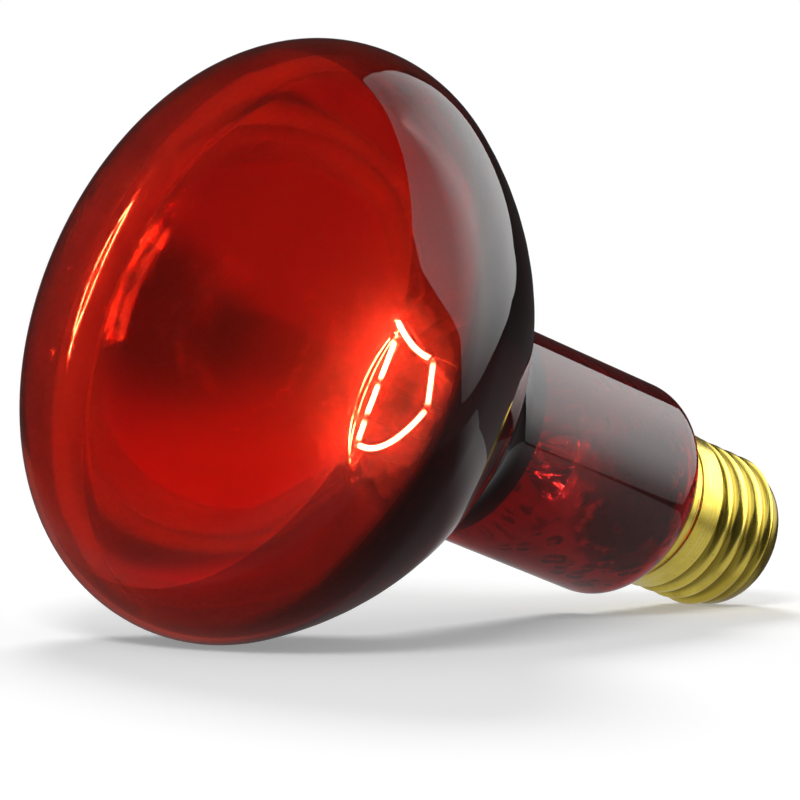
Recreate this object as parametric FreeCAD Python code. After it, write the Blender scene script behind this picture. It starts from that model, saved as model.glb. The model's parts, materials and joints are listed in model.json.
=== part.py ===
import FreeCAD, Part
import math
import os

# Infrared reflector lamp: a ruby glass R95 bulb on an E27 screw cap. Sizes are in millimetres.
#
# Every piece is drawn standing on the lamp's own axis, which is local Z. The height u along it is
# zero at the widest circle of the head and grows towards the cap; r is the distance from the axis.
# lie_down() then turns the lamp as it lies on a table, on its head and the end of its cap: the axis
# runs along +X and dips towards the cap, and +Z is up. The origin is the middle of the cap's thread.

V = FreeCAD.Vector
AXIS = V(0, 0, 1)
CENTRE = V(0, 0, 0)

# ---- glass bulb ----
HEAD_DIAMETER = 95.0
FACE_RADIUS = 95.4
RIM_RADIUS = 16.1
SHOULDER_RADIUS = 15.3
SHOULDER_TURN = 24.7
BACK_RADIUS = 60.0
CONE_ANGLE = 48.6
NECK_FILLET = 7.1
NECK_DIAMETER = 36.0
NECK_LENGTH = 36.3
NECK_END_RADIUS = 5.5
THROAT_DIAMETER = 22.0
THROAT_FILLET = 1.0
THROAT_LENGTH = 12.0
GLASS_WALL = 1.0

# ---- mirror film inside the back ----
FILM_THICKNESS = 0.15
FILM_RIM_TURN = 45.0
FILM_IN_NECK = 3.0

# ---- glass stem ----
STEM_DIAMETER = 11.0
STEM_WALL = 1.0
STEM_TUBE_LENGTH = 24.0
FLARE_RADIUS = 4.0
FLARE_ANGLE = 60.0
PRESS_LENGTH = 11.0
PRESS_THICKNESS = 4.2
PRESS_TAPER_LENGTH = 4.0
EXHAUST_DIAMETER = 4.0
EXHAUST_WALL = 0.8
EXHAUST_OVERHANG = 4.4
ARBOR_DIAMETER = 2.6
ARBOR_LENGTH = 9.0
BUTTON_DIAMETER = 4.6
BUTTON_LENGTH = 3.0

# ---- filament and its holders ----
COIL_DIAMETER = 0.9
SUPPORT_DIAMETER = 0.4
SUPPORT_REACH = 15.0
SUPPORT_SINK = 1.2
HOOK_PLAY = 0.05
CLAMP_DIAMETER = 1.4
CLAMP_LENGTH = 2.2
# Stations of the coil as (side, up) from the axis, with the lamp lying: side is towards -Y.
COIL_START = (-5.2, 12.6)
COIL_HOOKS = ((6.1, 6.2), (7.6, -1.7), (-7.1, -7.9), (-6.7, -3.5), (-5.7, 2.4))
COIL_END = (-4.3, 9.6)
FIRST_SAG = 1.1
LONG_SAG = 2.9
SAG_STEPS = 6

# ---- leads ----
INNER_LEAD_DIAMETER = 0.8
SEAL_WIRE_DIAMETER = 0.5
OUTER_LEAD_DIAMETER = 0.4
LEAD_SPREAD = 3.2
INNER_LEAD_DEPTH = 3.0
SEAL_WIRE_LENGTH = 5.5
LEAD_STUB = 1.5
FUSE_DIAMETER = 1.6
FUSE_LENGTH = 10.0
FUSE_SETBACK = 6.0

# ---- E27 screw cap ----
THREAD_MAJOR = 26.3
THREAD_MINOR = 24.2
THREAD_PITCH = 3.629
THREAD_ROUND = 1.025
ROOT_SLOPE = 20.0
THREAD_FADE = 1.5
SHELL_WALL = 0.35
COLLAR_DIAMETER = 26.0
COLLAR_LENGTH = 2.4
CEMENT_GAP = 0.5
SEAM_WIDTH = 0.5
SEAM_DEPTH = 0.3
LAND_DIAMETER = 26.5
LAND_LENGTH = 4.6
LAND_CHAMFER = 0.6
CORE_LENGTH = 13.3
SHELL_END_RADIUS = 3.5
INSULATOR_INSIDE = 4.5
INSULATOR_HEIGHT = 2.2
CONTACT_DIAMETER = 9.6
CONTACT_THICKNESS = 0.5
EYELET_DIAMETER = 3.0
EYELET_WALL = 0.35
EYELET_DEPTH = 3.0
SOLDER_DIAMETER = 4.8
SOLDER_HEIGHT = 1.0
SIDE_SOLDER_RADIUS = 1.4


class Pen:
    """Draws one outline in the plane of u and r. Heading 0 runs along +u, and 90 along +r."""

    def __init__(self, u, r, heading=0.0):
        self.u = u
        self.r = r
        self.heading = heading
        self.edges = []

    def at(self, u, r):
        return V(r, 0, u)

    def to(self, u, r):
        """Straight to an absolute place."""
        self.edges.append(Part.makeLine(self.at(self.u, self.r), self.at(u, r)))
        self.u = u
        self.r = r

    def line(self, length):
        """Straight on along the heading."""
        angle = math.radians(self.heading)
        self.to(self.u + length * math.cos(angle), self.r + length * math.sin(angle))

    def arc(self, radius, turn):
        """Tangent arc. A positive radius bends towards the axis, a negative one away from it."""
        sign = 1 if radius > 0 else -1
        size = abs(radius)
        inward = math.radians(self.heading - 90 * sign)
        middle_u = self.u + size * math.cos(inward)
        middle_r = self.r + size * math.sin(inward)

        def place(turned):
            angle = math.radians(self.heading + sign * (90 - turned))
            return middle_u + size * math.cos(angle), middle_r + size * math.sin(angle)

        half = place(turn / 2)
        end = place(turn)
        arc = Part.Arc(self.at(self.u, self.r), self.at(*half), self.at(*end))
        self.edges.append(arc.toShape())
        self.u, self.r = end
        self.heading -= sign * turn


def turned(*outlines):
    """Revolves the face between outlines, joined end to start, or closed onto the axis."""
    edges = []
    first = outlines[0]
    last = outlines[-1]
    for outline in outlines:
        edges += outline.edges
    if len(outlines) == 2:
        ends = [(first.edges[0].Vertexes[0].Point, last.edges[0].Vertexes[0].Point),
                (first.edges[-1].Vertexes[-1].Point, last.edges[-1].Vertexes[-1].Point)]
    else:
        start = first.edges[0].Vertexes[0].Point
        stop = first.at(first.u, first.r)
        ends = [(start, V(0, 0, start.z)), (V(0, 0, start.z), V(0, 0, stop.z)), (V(0, 0, stop.z), stop)]
    for a, b in ends:
        if a.distanceToPoint(b) > 1e-6:
            edges.append(Part.makeLine(a, b))
    wire = Part.Wire(Part.__sortEdges__(edges))
    return Part.Face(wire).revolve(CENTRE, AXIS, 360)


def tube(start, length, outer, inner=0.0):
    """Round bar or tube about the axis, by diameters."""
    body = Part.makeCylinder(outer / 2, length, V(0, 0, start), AXIS)
    if inner > 0:
        body = body.cut(Part.makeCylinder(inner / 2, length, V(0, 0, start), AXIS))
    return body


def spot(side, up, u):
    """A place inside the lamp by the directions it has when it lies on the table."""
    return V(-up, -side, u)


def bent_wire(points, diameter):
    """Round wire through points, with a ball at each bend."""
    radius = diameter / 2
    pieces = []
    for a, b in zip(points, points[1:]):
        run = b.sub(a)
        pieces.append(Part.makeCylinder(radius, run.Length, a, run))
    for bend in points[1:-1]:
        pieces.append(Part.makeSphere(radius, bend))
    return pieces[0].multiFuse(pieces[1:]) if len(pieces) > 1 else pieces[0]


def sagging(start, end, sag):
    """Places between two (side, up) stations, hanging in a parabola below the straight line."""
    places = []
    for i in range(1, SAG_STEPS):
        t = i / SAG_STEPS
        side = start[0] + (end[0] - start[0]) * t
        up = start[1] + (end[1] - start[1]) * t - 4 * sag * t * (1 - t)
        places.append((side, up))
    return places


# ---- bulb outline, the same steps for the outside and for every skin inside it ----
head_r = HEAD_DIAMETER / 2
neck_r = NECK_DIAMETER / 2
throat_r = THROAT_DIAMETER / 2
face_turn = math.degrees(math.asin((head_r - RIM_RADIUS) / (FACE_RADIUS - RIM_RADIUS)))
face_centre_u = (FACE_RADIUS - RIM_RADIUS) * math.cos(math.radians(face_turn))
apex_u = face_centre_u - FACE_RADIUS
turn_cos = math.cos(math.radians(SHOULDER_TURN))
cone_cos = math.cos(math.radians(CONE_ANGLE))
shoulder_drop = SHOULDER_RADIUS * (1 - turn_cos) + BACK_RADIUS * (turn_cos - cone_cos)
cone_drop = head_r - neck_r - shoulder_drop - NECK_FILLET * (1 - cone_cos)
cone_length = cone_drop / math.sin(math.radians(CONE_ANGLE))
shelf_length = neck_r - NECK_END_RADIUS - throat_r - THROAT_FILLET


def draw_face(pen, inset):
    pen.arc(FACE_RADIUS - inset, face_turn)
    pen.arc(RIM_RADIUS - inset, 90 - face_turn)


def draw_back(pen, inset):
    pen.arc(SHOULDER_RADIUS - inset, SHOULDER_TURN)
    pen.arc(BACK_RADIUS - inset, CONE_ANGLE - SHOULDER_TURN)
    pen.line(cone_length)
    pen.arc(-NECK_FILLET - inset, CONE_ANGLE)


def draw_neck(pen, inset):
    pen.line(NECK_LENGTH)
    pen.arc(NECK_END_RADIUS - inset, 90)
    pen.line(shelf_length)
    pen.arc(-THROAT_FILLET - inset, 90)
    pen.line(THROAT_LENGTH)


def head_outline(inset):
    pen = Pen(apex_u + inset, 0, 90)
    draw_face(pen, inset)
    draw_back(pen, inset)
    return pen


neck_u = head_outline(0).u


def neck_outline(inset):
    pen = Pen(neck_u, neck_r - inset)
    draw_neck(pen, inset)
    return pen


def film_outline(inset):
    turn = math.radians(FILM_RIM_TURN)
    radius = RIM_RADIUS - inset
    pen = Pen(-radius * math.sin(turn), head_r - RIM_RADIUS + radius * math.cos(turn), FILM_RIM_TURN)
    pen.arc(radius, FILM_RIM_TURN)
    draw_back(pen, inset)
    pen.line(FILM_IN_NECK)
    return pen


throat_end_u = neck_outline(0).u
shelf_u = throat_end_u - THROAT_LENGTH - THROAT_FILLET

# ---- heights along the axis, from the throat's end forward to the filament ----
flare_sin = math.sin(math.radians(FLARE_ANGLE))
flare_cos = math.cos(math.radians(FLARE_ANGLE))
stem_r = STEM_DIAMETER / 2
bore_r = stem_r - STEM_WALL
seat_r = throat_r - GLASS_WALL
bore_arc = FLARE_RADIUS + STEM_WALL
flare_rise = (seat_r - bore_r - bore_arc * (1 - flare_cos)) / flare_sin * flare_cos
flare_u = throat_end_u - bore_arc * flare_sin - flare_rise
press_base_u = flare_u - STEM_TUBE_LENGTH
press_top_u = press_base_u - PRESS_LENGTH
button_back_u = press_top_u - ARBOR_LENGTH
support_u = button_back_u - BUTTON_LENGTH / 2
filament_u = support_u - SUPPORT_REACH

# ---- heights along the cap ----
rim_u = shelf_u + CEMENT_GAP
seam_u = rim_u + COLLAR_LENGTH
land_u = seam_u + SEAM_WIDTH
land_end_u = land_u + LAND_LENGTH
core_u = land_end_u + LAND_CHAMFER
core_end_u = core_u + CORE_LENGTH
shell_end_u = core_end_u + SHELL_END_RADIUS
insulator_end_u = shell_end_u + INSULATOR_HEIGHT
contact_end_u = insulator_end_u + CONTACT_THICKNESS
core_r = THREAD_MINOR / 2 + THREAD_ROUND * (1 - math.cos(math.radians(ROOT_SLOPE)))


def shell_outline(inset, start_u):
    pen = Pen(start_u, COLLAR_DIAMETER / 2 - inset)
    pen.to(seam_u, COLLAR_DIAMETER / 2 - inset)
    pen.to(seam_u + SEAM_WIDTH / 2, COLLAR_DIAMETER / 2 - SEAM_DEPTH - inset)
    pen.to(land_u, LAND_DIAMETER / 2 - inset)
    pen.to(land_end_u, LAND_DIAMETER / 2 - inset)
    pen.to(core_u, core_r - inset)
    pen.to(core_end_u, core_r - inset)
    pen.arc(SHELL_END_RADIUS - inset, 90)
    return pen


def make_head():
    """Head of the blown bulb: the glass between the outside and the same outline one wall further in."""
    return turned(head_outline(0), head_outline(GLASS_WALL))


def make_neck():
    """Neck of the bulb, which runs on from the head and narrows to the throat inside the cap."""
    return turned(neck_outline(0), neck_outline(GLASS_WALL))


def make_film():
    """Mirror film on the inside of the glass, from the rim of the face into the mouth of the neck."""
    return turned(film_outline(GLASS_WALL), film_outline(GLASS_WALL + FILM_THICKNESS))


def make_flare():
    """Stem tube that flares out and is sealed to the inside of the throat's end."""
    skins = []
    for radius, bend in ((stem_r, FLARE_RADIUS), (bore_r, bore_arc)):
        pen = Pen(press_base_u, radius)
        pen.line(STEM_TUBE_LENGTH)
        pen.arc(-bend, FLARE_ANGLE)
        pen.line((throat_r - pen.r) / flare_sin)
        skins.append(pen)
    seat = tube(press_base_u, throat_end_u - press_base_u, 2 * seat_r)
    return turned(*skins).common(seat)


def make_press(wires):
    """Stem end pinched flat over the leads: a round bar between two tapering planes."""
    half = PRESS_THICKNESS / 2
    taper_u = press_base_u - PRESS_TAPER_LENGTH
    corners = [V(-half, -stem_r, press_top_u), V(half, -stem_r, press_top_u), V(half, -stem_r, taper_u),
               V(stem_r, -stem_r, press_base_u), V(-stem_r, -stem_r, press_base_u),
               V(-half, -stem_r, taper_u), V(-half, -stem_r, press_top_u)]
    wedge = Part.Face(Part.makePolygon(corners)).extrude(V(0, STEM_DIAMETER, 0))
    press = tube(press_top_u, PRESS_LENGTH, STEM_DIAMETER).common(wedge)
    for wire in wires:
        press = press.cut(wire)
    return press


def make_exhaust_tube():
    """Pumping tube inside the stem, with a round tip where it was melted off."""
    outer_r = EXHAUST_DIAMETER / 2
    length = throat_end_u + EXHAUST_OVERHANG - outer_r - press_base_u
    skins = []
    for inset in (0, EXHAUST_WALL):
        pen = Pen(press_base_u, outer_r - inset)
        pen.line(length)
        pen.arc(outer_r - inset, 90)
        skins.append(pen)
    return turned(*skins)


def make_button(supports):
    """Glass bead on the arbor rod, with the support wires melted into its edge."""
    bead = tube(button_back_u - BUTTON_LENGTH, BUTTON_LENGTH, BUTTON_DIAMETER)
    bead = bead.makeFillet(BUTTON_LENGTH / 3, [bead.Edges[0], bead.Edges[2]])
    for wire in supports:
        bead = bead.cut(wire)
    return bead


def make_support(before, station, after):
    """Wire from the button out and forward, hooked over the outside of the coil at one station."""
    run_side = after[0] - before[0]
    run_up = after[1] - before[1]
    outward = math.copysign(1 / math.hypot(run_side, run_up), station[0] * run_up - station[1] * run_side)
    clear = (COIL_DIAMETER + SUPPORT_DIAMETER) / 2 + HOOK_PLAY

    def beside(distance, u):
        side = station[0] + run_up * outward * distance
        up = station[1] - run_side * outward * distance
        return spot(side, up, u)

    corner = beside(clear, support_u)
    root = V(0, 0, support_u).add(V(corner.x, corner.y, 0).normalize() * (BUTTON_DIAMETER / 2 - SUPPORT_SINK))
    points = [root, corner, beside(clear, filament_u - clear), beside(-clear, filament_u - clear)]
    return bent_wire(points, SUPPORT_DIAMETER)


def make_supports():
    """One hooked wire for each inner station of the coil."""
    stations = (COIL_START,) + COIL_HOOKS + (COIL_END,)
    return [make_support(*three) for three in zip(stations, stations[1:], stations[2:])]


def make_clamp(station):
    """Crimped sleeve on a tail of the coil, in line with its lead."""
    place = spot(*station, filament_u - CLAMP_LENGTH / 2)
    return Part.makeCylinder(CLAMP_DIAMETER / 2, CLAMP_LENGTH, place, AXIS)


def make_filament(clamps):
    """Outer shape of the coiled coil: it runs over the hooks and sags on its two longest spans."""
    first, second, third = COIL_HOOKS[:3]
    stations = [COIL_START] + sagging(COIL_START, first, FIRST_SAG) + [first, second]
    stations += sagging(second, third, LONG_SAG) + list(COIL_HOOKS[2:]) + [COIL_END]
    coil = bent_wire([spot(*station, filament_u) for station in stations], COIL_DIAMETER)
    for clamp in clamps:
        coil = coil.cut(clamp)
    return coil


def make_inner_lead(side, station):
    """Nickel-plated lead from inside the press to the clamp of one coil tail."""
    points = [spot(side, 0, press_top_u + INNER_LEAD_DEPTH), spot(side, 0, press_top_u - LEAD_STUB),
              spot(*station, filament_u + CLAMP_LENGTH / 2 + LEAD_STUB),
              spot(*station, filament_u + CLAMP_LENGTH / 2)]
    return bent_wire(points, INNER_LEAD_DIAMETER)


seal_u = press_top_u + INNER_LEAD_DEPTH
outer_lead_u = seal_u + SEAL_WIRE_LENGTH
turn_u = throat_end_u + EXHAUST_OVERHANG + OUTER_LEAD_DIAMETER
solder_face_r = COLLAR_DIAMETER / 2 + OUTER_LEAD_DIAMETER


def make_seal_wire(side):
    """Dumet wire, the vacuum-tight stretch of a lead in the middle of the press."""
    return bent_wire([spot(side, 0, seal_u), spot(side, 0, outer_lead_u)], SEAL_WIRE_DIAMETER)


def make_centre_lead():
    """Copper lead down the stem, past the exhaust tip and through the contact's eyelet."""
    points = [spot(LEAD_SPREAD, 0, outer_lead_u), spot(LEAD_SPREAD, 0, turn_u),
              spot(0, 0, turn_u + LEAD_SPREAD), spot(0, 0, contact_end_u + SOLDER_HEIGHT / 2)]
    return bent_wire(points, OUTER_LEAD_DIAMETER)


def make_side_lead():
    """Copper lead round the throat's end and back through the cement to the shell's rim."""
    past_end_u = throat_end_u + 2 * OUTER_LEAD_DIAMETER
    outside_throat = throat_r + OUTER_LEAD_DIAMETER
    rim_gap_u = shelf_u + CEMENT_GAP / 2
    points = [spot(-LEAD_SPREAD, 0, outer_lead_u), spot(-LEAD_SPREAD, 0, past_end_u),
              spot(-outside_throat, 0, past_end_u), spot(-outside_throat, 0, rim_gap_u + THROAT_FILLET),
              spot(-outside_throat - THROAT_FILLET, 0, rim_gap_u), spot(-solder_face_r, 0, rim_gap_u)]
    return bent_wire(points, OUTER_LEAD_DIAMETER)


def make_fuse_bead(lead):
    """Glass sleeve over the thin stretch of the centre lead that acts as the fuse."""
    start = spot(LEAD_SPREAD, 0, press_base_u + FUSE_SETBACK)
    return Part.makeCylinder(FUSE_DIAMETER / 2, FUSE_LENGTH, start, AXIS).cut(lead)


def make_thread():
    """Rolled Edison thread: rounded crests that leave the core on a helix and fade at both ends."""
    half_pitch = THREAD_PITCH / 2
    overlap = 2 * THREAD_ROUND - (THREAD_MAJOR - THREAD_MINOR) / 2
    spacing = math.hypot(half_pitch, overlap)
    flank = math.sqrt(spacing ** 2 - 4 * THREAD_ROUND ** 2)
    slope = math.degrees(math.asin(2 * THREAD_ROUND / spacing) - math.atan2(overlap, half_pitch))
    start_u = land_end_u - THREAD_FADE / 6
    base_r = core_r - SHELL_WALL / 2
    foot = half_pitch - THREAD_ROUND * math.sin(math.radians(ROOT_SLOPE))
    pen = Pen(start_u - foot, base_r, ROOT_SLOPE)
    pen.to(start_u - foot, core_r)
    pen.arc(-THREAD_ROUND, slope - ROOT_SLOPE)
    pen.line(flank)
    pen.arc(THREAD_ROUND, 2 * slope)
    pen.line(flank)
    pen.arc(-THREAD_ROUND, slope - ROOT_SLOPE)
    pen.to(pen.u, base_r)
    pen.to(start_u - foot, base_r)
    profile = Part.Wire(Part.__sortEdges__(pen.edges))
    helix = Part.makeHelix(THREAD_PITCH, core_end_u - start_u + half_pitch, core_r)
    helix.translate(V(0, 0, start_u))
    sweep = Part.BRepOffsetAPI.MakePipeShell(Part.Wire(helix.Edges))
    sweep.setFrenetMode(True)
    sweep.add(profile)
    sweep.build()
    sweep.makeSolid()
    limit = Pen(core_u, core_r)
    limit.to(core_u + THREAD_FADE, LAND_DIAMETER / 2)
    limit.to(core_end_u - THREAD_FADE, LAND_DIAMETER / 2)
    limit.to(core_end_u, core_r)
    return sweep.shape().common(turned(limit))


def make_screw_shell():
    """Brass shell: collar, seam, plain land, core with the rolled thread, and turned-in end."""
    shell = turned(shell_outline(0, rim_u), shell_outline(SHELL_WALL, rim_u))
    return shell.fuse(make_thread()).removeSplitter()


def shell_inside(start_u):
    """The space inside the shell, which cement and insulator fill at its two ends."""
    return turned(shell_outline(SHELL_WALL, start_u))


def make_cement(side_lead):
    """Basing cement between the throat and the shell, showing as a thin line at the rim."""
    block = shell_inside(shelf_u - NECK_END_RADIUS).common(
        tube(shelf_u - NECK_END_RADIUS, throat_end_u - shelf_u + NECK_END_RADIUS, LAND_DIAMETER))
    return block.cut(turned(neck_outline(0))).cut(side_lead)


def make_insulator():
    """Black glass plug: it fills the shell's end and carries the contact on a short cone."""
    inside = shell_inside(shelf_u).common(
        tube(shell_end_u - INSULATOR_INSIDE, INSULATOR_INSIDE, LAND_DIAMETER))
    cone = Part.makeCone(core_r - SHELL_END_RADIUS, CONTACT_DIAMETER / 2 + EYELET_WALL,
                         INSULATOR_HEIGHT + SHELL_WALL, V(0, 0, shell_end_u - SHELL_WALL), AXIS)
    bore = tube(shell_end_u - INSULATOR_INSIDE, INSULATOR_INSIDE + INSULATOR_HEIGHT, EYELET_DIAMETER)
    return inside.fuse(cone).removeSplitter().cut(bore)


def make_contact():
    """Brass contact plate with the eyelet that reaches down into the insulator."""
    plate = tube(insulator_end_u, CONTACT_THICKNESS, CONTACT_DIAMETER)
    edge = [e for e in plate.Edges if abs(e.BoundBox.ZMin - contact_end_u) < 1e-6]
    plate = plate.makeFillet(CONTACT_THICKNESS / 2, edge)
    neck = tube(insulator_end_u - EYELET_DEPTH, EYELET_DEPTH, EYELET_DIAMETER)
    hole = tube(insulator_end_u - EYELET_DEPTH, EYELET_DEPTH + CONTACT_THICKNESS,
                EYELET_DIAMETER - 2 * EYELET_WALL)
    return plate.fuse(neck).removeSplitter().cut(hole)


def make_contact_solder(lead):
    """Dome of solder that closes the eyelet round the end of the centre lead."""
    foot_r = SOLDER_DIAMETER / 2
    ball_r = (foot_r ** 2 + SOLDER_HEIGHT ** 2) / (2 * SOLDER_HEIGHT)
    ball = Part.makeSphere(ball_r, V(0, 0, contact_end_u + SOLDER_HEIGHT - ball_r))
    dome = ball.common(tube(contact_end_u, SOLDER_HEIGHT, SOLDER_DIAMETER))
    return dome.cut(lead)


def make_side_solder(lead):
    """Bead of solder on the collar, over the end of the side lead."""
    centre = spot(-COLLAR_DIAMETER / 2 + SIDE_SOLDER_RADIUS / 3, 0, rim_u + SIDE_SOLDER_RADIUS / 2)
    ball = Part.makeSphere(SIDE_SOLDER_RADIUS, centre)
    keep_off = turned(shell_outline(0, shelf_u - NECK_END_RADIUS))
    return ball.cut(keep_off).cut(turned(neck_outline(0))).cut(lead)


def lying_angle():
    """Dip of the axis when the head's shoulder and the rounded end of the cap touch one plane."""
    step = (head_r - SHOULDER_RADIUS) - (core_r - SHELL_END_RADIUS)
    reach = math.hypot(step, core_end_u)
    return math.atan2(step, core_end_u) + math.asin((SHOULDER_RADIUS - SHELL_END_RADIUS) / reach)


def lie_down(shapes):
    """Turns the standing lamp as it lies, with the middle of its thread at the origin."""
    dip = lying_angle()
    thread_u = (core_u + core_end_u) / 2
    turn = FreeCAD.Rotation(V(0, 1, 0), 90 + math.degrees(dip))
    pose = FreeCAD.Placement(V(-thread_u * math.cos(dip), 0, thread_u * math.sin(dip)), turn)
    for shape in shapes.values():
        shape.Placement = pose.multiply(shape.Placement)


def build():
    """All pieces by name, standing on the lamp's axis."""
    supports = make_supports()
    clamps = [make_clamp(COIL_START), make_clamp(COIL_END)]
    upper_lead = make_inner_lead(-LEAD_SPREAD, COIL_START)
    lower_lead = make_inner_lead(LEAD_SPREAD, COIL_END)
    seal_wires = [make_seal_wire(-LEAD_SPREAD), make_seal_wire(LEAD_SPREAD)]
    centre_lead = make_centre_lead()
    side_lead = make_side_lead()
    in_press = [upper_lead, lower_lead, centre_lead, side_lead] + seal_wires
    shapes = {
        "bulb_head": make_head(),
        "bulb_neck": make_neck(),
        "reflector_film": make_film(),
        "stem_flare": make_flare(),
        "stem_press": make_press(in_press),
        "exhaust_tube": make_exhaust_tube(),
        "arbor_rod": tube(button_back_u, ARBOR_LENGTH, ARBOR_DIAMETER),
        "arbor_button": make_button(supports),
        "filament": make_filament(clamps),
        "lead_clamps": Part.makeCompound(clamps),
        "inner_lead_upper": upper_lead,
        "inner_lead_lower": lower_lead,
        "seal_wires": Part.makeCompound(seal_wires),
        "outer_lead_centre": centre_lead,
        "outer_lead_side": side_lead,
        "fuse_bead": make_fuse_bead(centre_lead),
        "screw_shell": make_screw_shell(),
        "cement_ring": make_cement(side_lead),
        "insulator": make_insulator(),
        "contact_eyelet": make_contact(),
        "contact_solder": make_contact_solder(centre_lead),
        "side_solder": make_side_solder(side_lead),
    }
    for number, wire in enumerate(supports, 1):
        shapes["support_wire_%d" % number] = wire
    return shapes


def main():
    shapes = build()
    lie_down(shapes)
    os.makedirs("parts", exist_ok=True)
    for name, shape in shapes.items():
        shape.exportStep("parts/%s.step" % name)


main()
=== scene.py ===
import json
import logging
import math
from collections.abc import Callable
from dataclasses import dataclass
from enum import Enum
from functools import cached_property

import bpy
import numpy as np
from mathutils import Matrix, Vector


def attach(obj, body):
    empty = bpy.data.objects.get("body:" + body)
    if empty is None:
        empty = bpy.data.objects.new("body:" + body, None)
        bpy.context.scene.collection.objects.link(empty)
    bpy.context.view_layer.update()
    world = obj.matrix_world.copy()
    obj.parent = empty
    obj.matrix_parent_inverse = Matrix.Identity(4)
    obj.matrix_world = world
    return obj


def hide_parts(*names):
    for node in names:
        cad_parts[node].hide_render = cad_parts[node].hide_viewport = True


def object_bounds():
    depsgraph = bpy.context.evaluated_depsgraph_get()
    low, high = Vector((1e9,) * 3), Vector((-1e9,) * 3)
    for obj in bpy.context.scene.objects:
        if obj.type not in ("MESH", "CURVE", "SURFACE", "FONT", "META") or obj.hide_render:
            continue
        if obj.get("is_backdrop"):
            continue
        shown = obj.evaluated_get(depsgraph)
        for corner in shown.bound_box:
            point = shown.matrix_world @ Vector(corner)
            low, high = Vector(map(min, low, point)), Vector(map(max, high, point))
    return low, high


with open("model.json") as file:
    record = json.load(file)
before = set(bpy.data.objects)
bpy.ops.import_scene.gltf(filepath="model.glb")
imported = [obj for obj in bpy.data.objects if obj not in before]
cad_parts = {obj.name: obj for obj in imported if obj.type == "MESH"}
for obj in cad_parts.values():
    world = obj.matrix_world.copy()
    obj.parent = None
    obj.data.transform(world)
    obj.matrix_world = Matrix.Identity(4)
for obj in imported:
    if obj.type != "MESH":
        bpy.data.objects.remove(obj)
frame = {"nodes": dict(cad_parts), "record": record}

# Infrared reflector lamp lying on a pale table: a ruby glass bulb with a mirror film inside its back, a
# glowing filament on a glass stem, and a brass Edison screw cap. Sizes are in millimetres, except in the
# studio and in the finishes' patterns, which are in metres. Along the lamp's axis the height u is zero at
# the widest circle of the head and grows towards the cap; x, y and u are the lamp's own directions, with
# x pointing at the table and r the distance from the axis.

LOG = logging.getLogger("lamp")
MM = 0.001
# Two faces that meet at more than this show an edge.
SHARP_ANGLE = math.radians(50)
# Where the rings of a wire's half-round end stand, as angles from its rim.
ROUND_END = np.radians([90, 55, 25])
# The largest share of a straight leg that an eased corner takes.
EASE_LIMIT = 0.45
# The direction u, as x, y, u.
AXIAL = np.array([0.0, 0.0, 1.0])
Array = np.ndarray
Colour = tuple[float, float, float]


class Ends(Enum):
    """How the rows of a surface end."""

    LOOP = "loop"
    POINTS = "points"


# ---------------------------------------------------------------- outlines, paths and surfaces


@dataclass(frozen=True)
class LampAxis:
    """The lamp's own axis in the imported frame, with the directions x (down), y (across) and u (along)."""

    foot: Array
    along: Array
    down: Array
    across: Array
    foot_u: float

    @classmethod
    def of_record(cls, record: dict, foot_u: float) -> "LampAxis":
        """Reads the axis from the mount of the screw thread.

        Args:
            record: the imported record.
            foot_u: height of that mount in millimetres.

        Returns:
            The axis of the lamp.
        """
        mount = next(m for m in record["mounts"] if m["name"] == "e27_thread")
        along, across = unit(np.array(mount["axis"])), np.array([0.0, 1.0, 0.0])
        return cls(np.array(mount["pos_m"]), along, np.cross(across, along), across, foot_u)

    def place(self, local: Array) -> Array:
        """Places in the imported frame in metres: foot + x down + y across + (u - foot_u) along."""
        x, y, u = local[..., 0:1], local[..., 1:2], local[..., 2:3] - self.foot_u
        return self.foot + MM * (x * self.down + y * self.across + u * self.along)


class Pen:
    """Draws the outline of a turned piece in the plane of u and r. Heading 0 is along +u, 90 along +r."""

    def __init__(self, u: float, r: float, heading: float = 0.0, step: float = 3.0) -> None:
        """Starts an outline.

        Args:
            u: height of its first place.
            r: radius of its first place.
            heading: where it starts out to, in degrees.
            step: how finely its arcs are divided, in degrees.
        """
        self.at = np.array([u, r], float)
        self.heading = heading
        self.step = step
        self.runs = [self.at[None]]

    def to(self, u: float, r: float, steps: int = 1) -> "Pen":
        """Straight to a place.

        Args:
            u: height of the place.
            r: radius of the place.
            steps: how many equal steps to take.

        Returns:
            The pen, at that place.
        """
        share = np.linspace(0, 1, steps + 1)[1:, None]
        self.runs.append(self.at + share * (np.array([u, r]) - self.at))
        self.at = self.runs[-1][-1]
        return self

    def line(self, length: float, steps: int = 1) -> "Pen":
        """Straight on along the heading, in equal steps."""
        angle = math.radians(self.heading)
        return self.to(*(self.at + length * np.array([math.cos(angle), math.sin(angle)])), steps)

    def arc(self, radius: float, turn: float) -> "Pen":
        """Tangent arc.

        Args:
            radius: positive bends towards the axis, negative away from it.
            turn: angle of the arc in degrees.

        Returns:
            The pen, at the end of the arc: centre + radius * (cos, sin) of the turning angle.
        """
        sign = math.copysign(1.0, radius)
        inward = math.radians(self.heading - 90 * sign)
        centre = self.at + abs(radius) * np.array([math.cos(inward), math.sin(inward)])
        swung = np.linspace(0, turn, max(2, math.ceil(turn / self.step)) + 1)[1:]
        angle = np.radians(self.heading + sign * (90 - swung))
        self.runs.append(centre + abs(radius) * np.stack([np.cos(angle), np.sin(angle)], 1))
        self.at = self.runs[-1][-1]
        self.heading -= sign * turn
        return self

    def points(self) -> Array:
        """The outline as rows of u, r."""
        return np.concatenate(self.runs)


def unit(vectors: Array) -> Array:
    """Vectors of length 1 with the same directions."""
    return vectors / np.linalg.norm(vectors, axis=-1, keepdims=True)


def tangents(path: Array) -> Array:
    """Direction of a path at each of its places."""
    return unit(np.gradient(path, axis=0))


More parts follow.
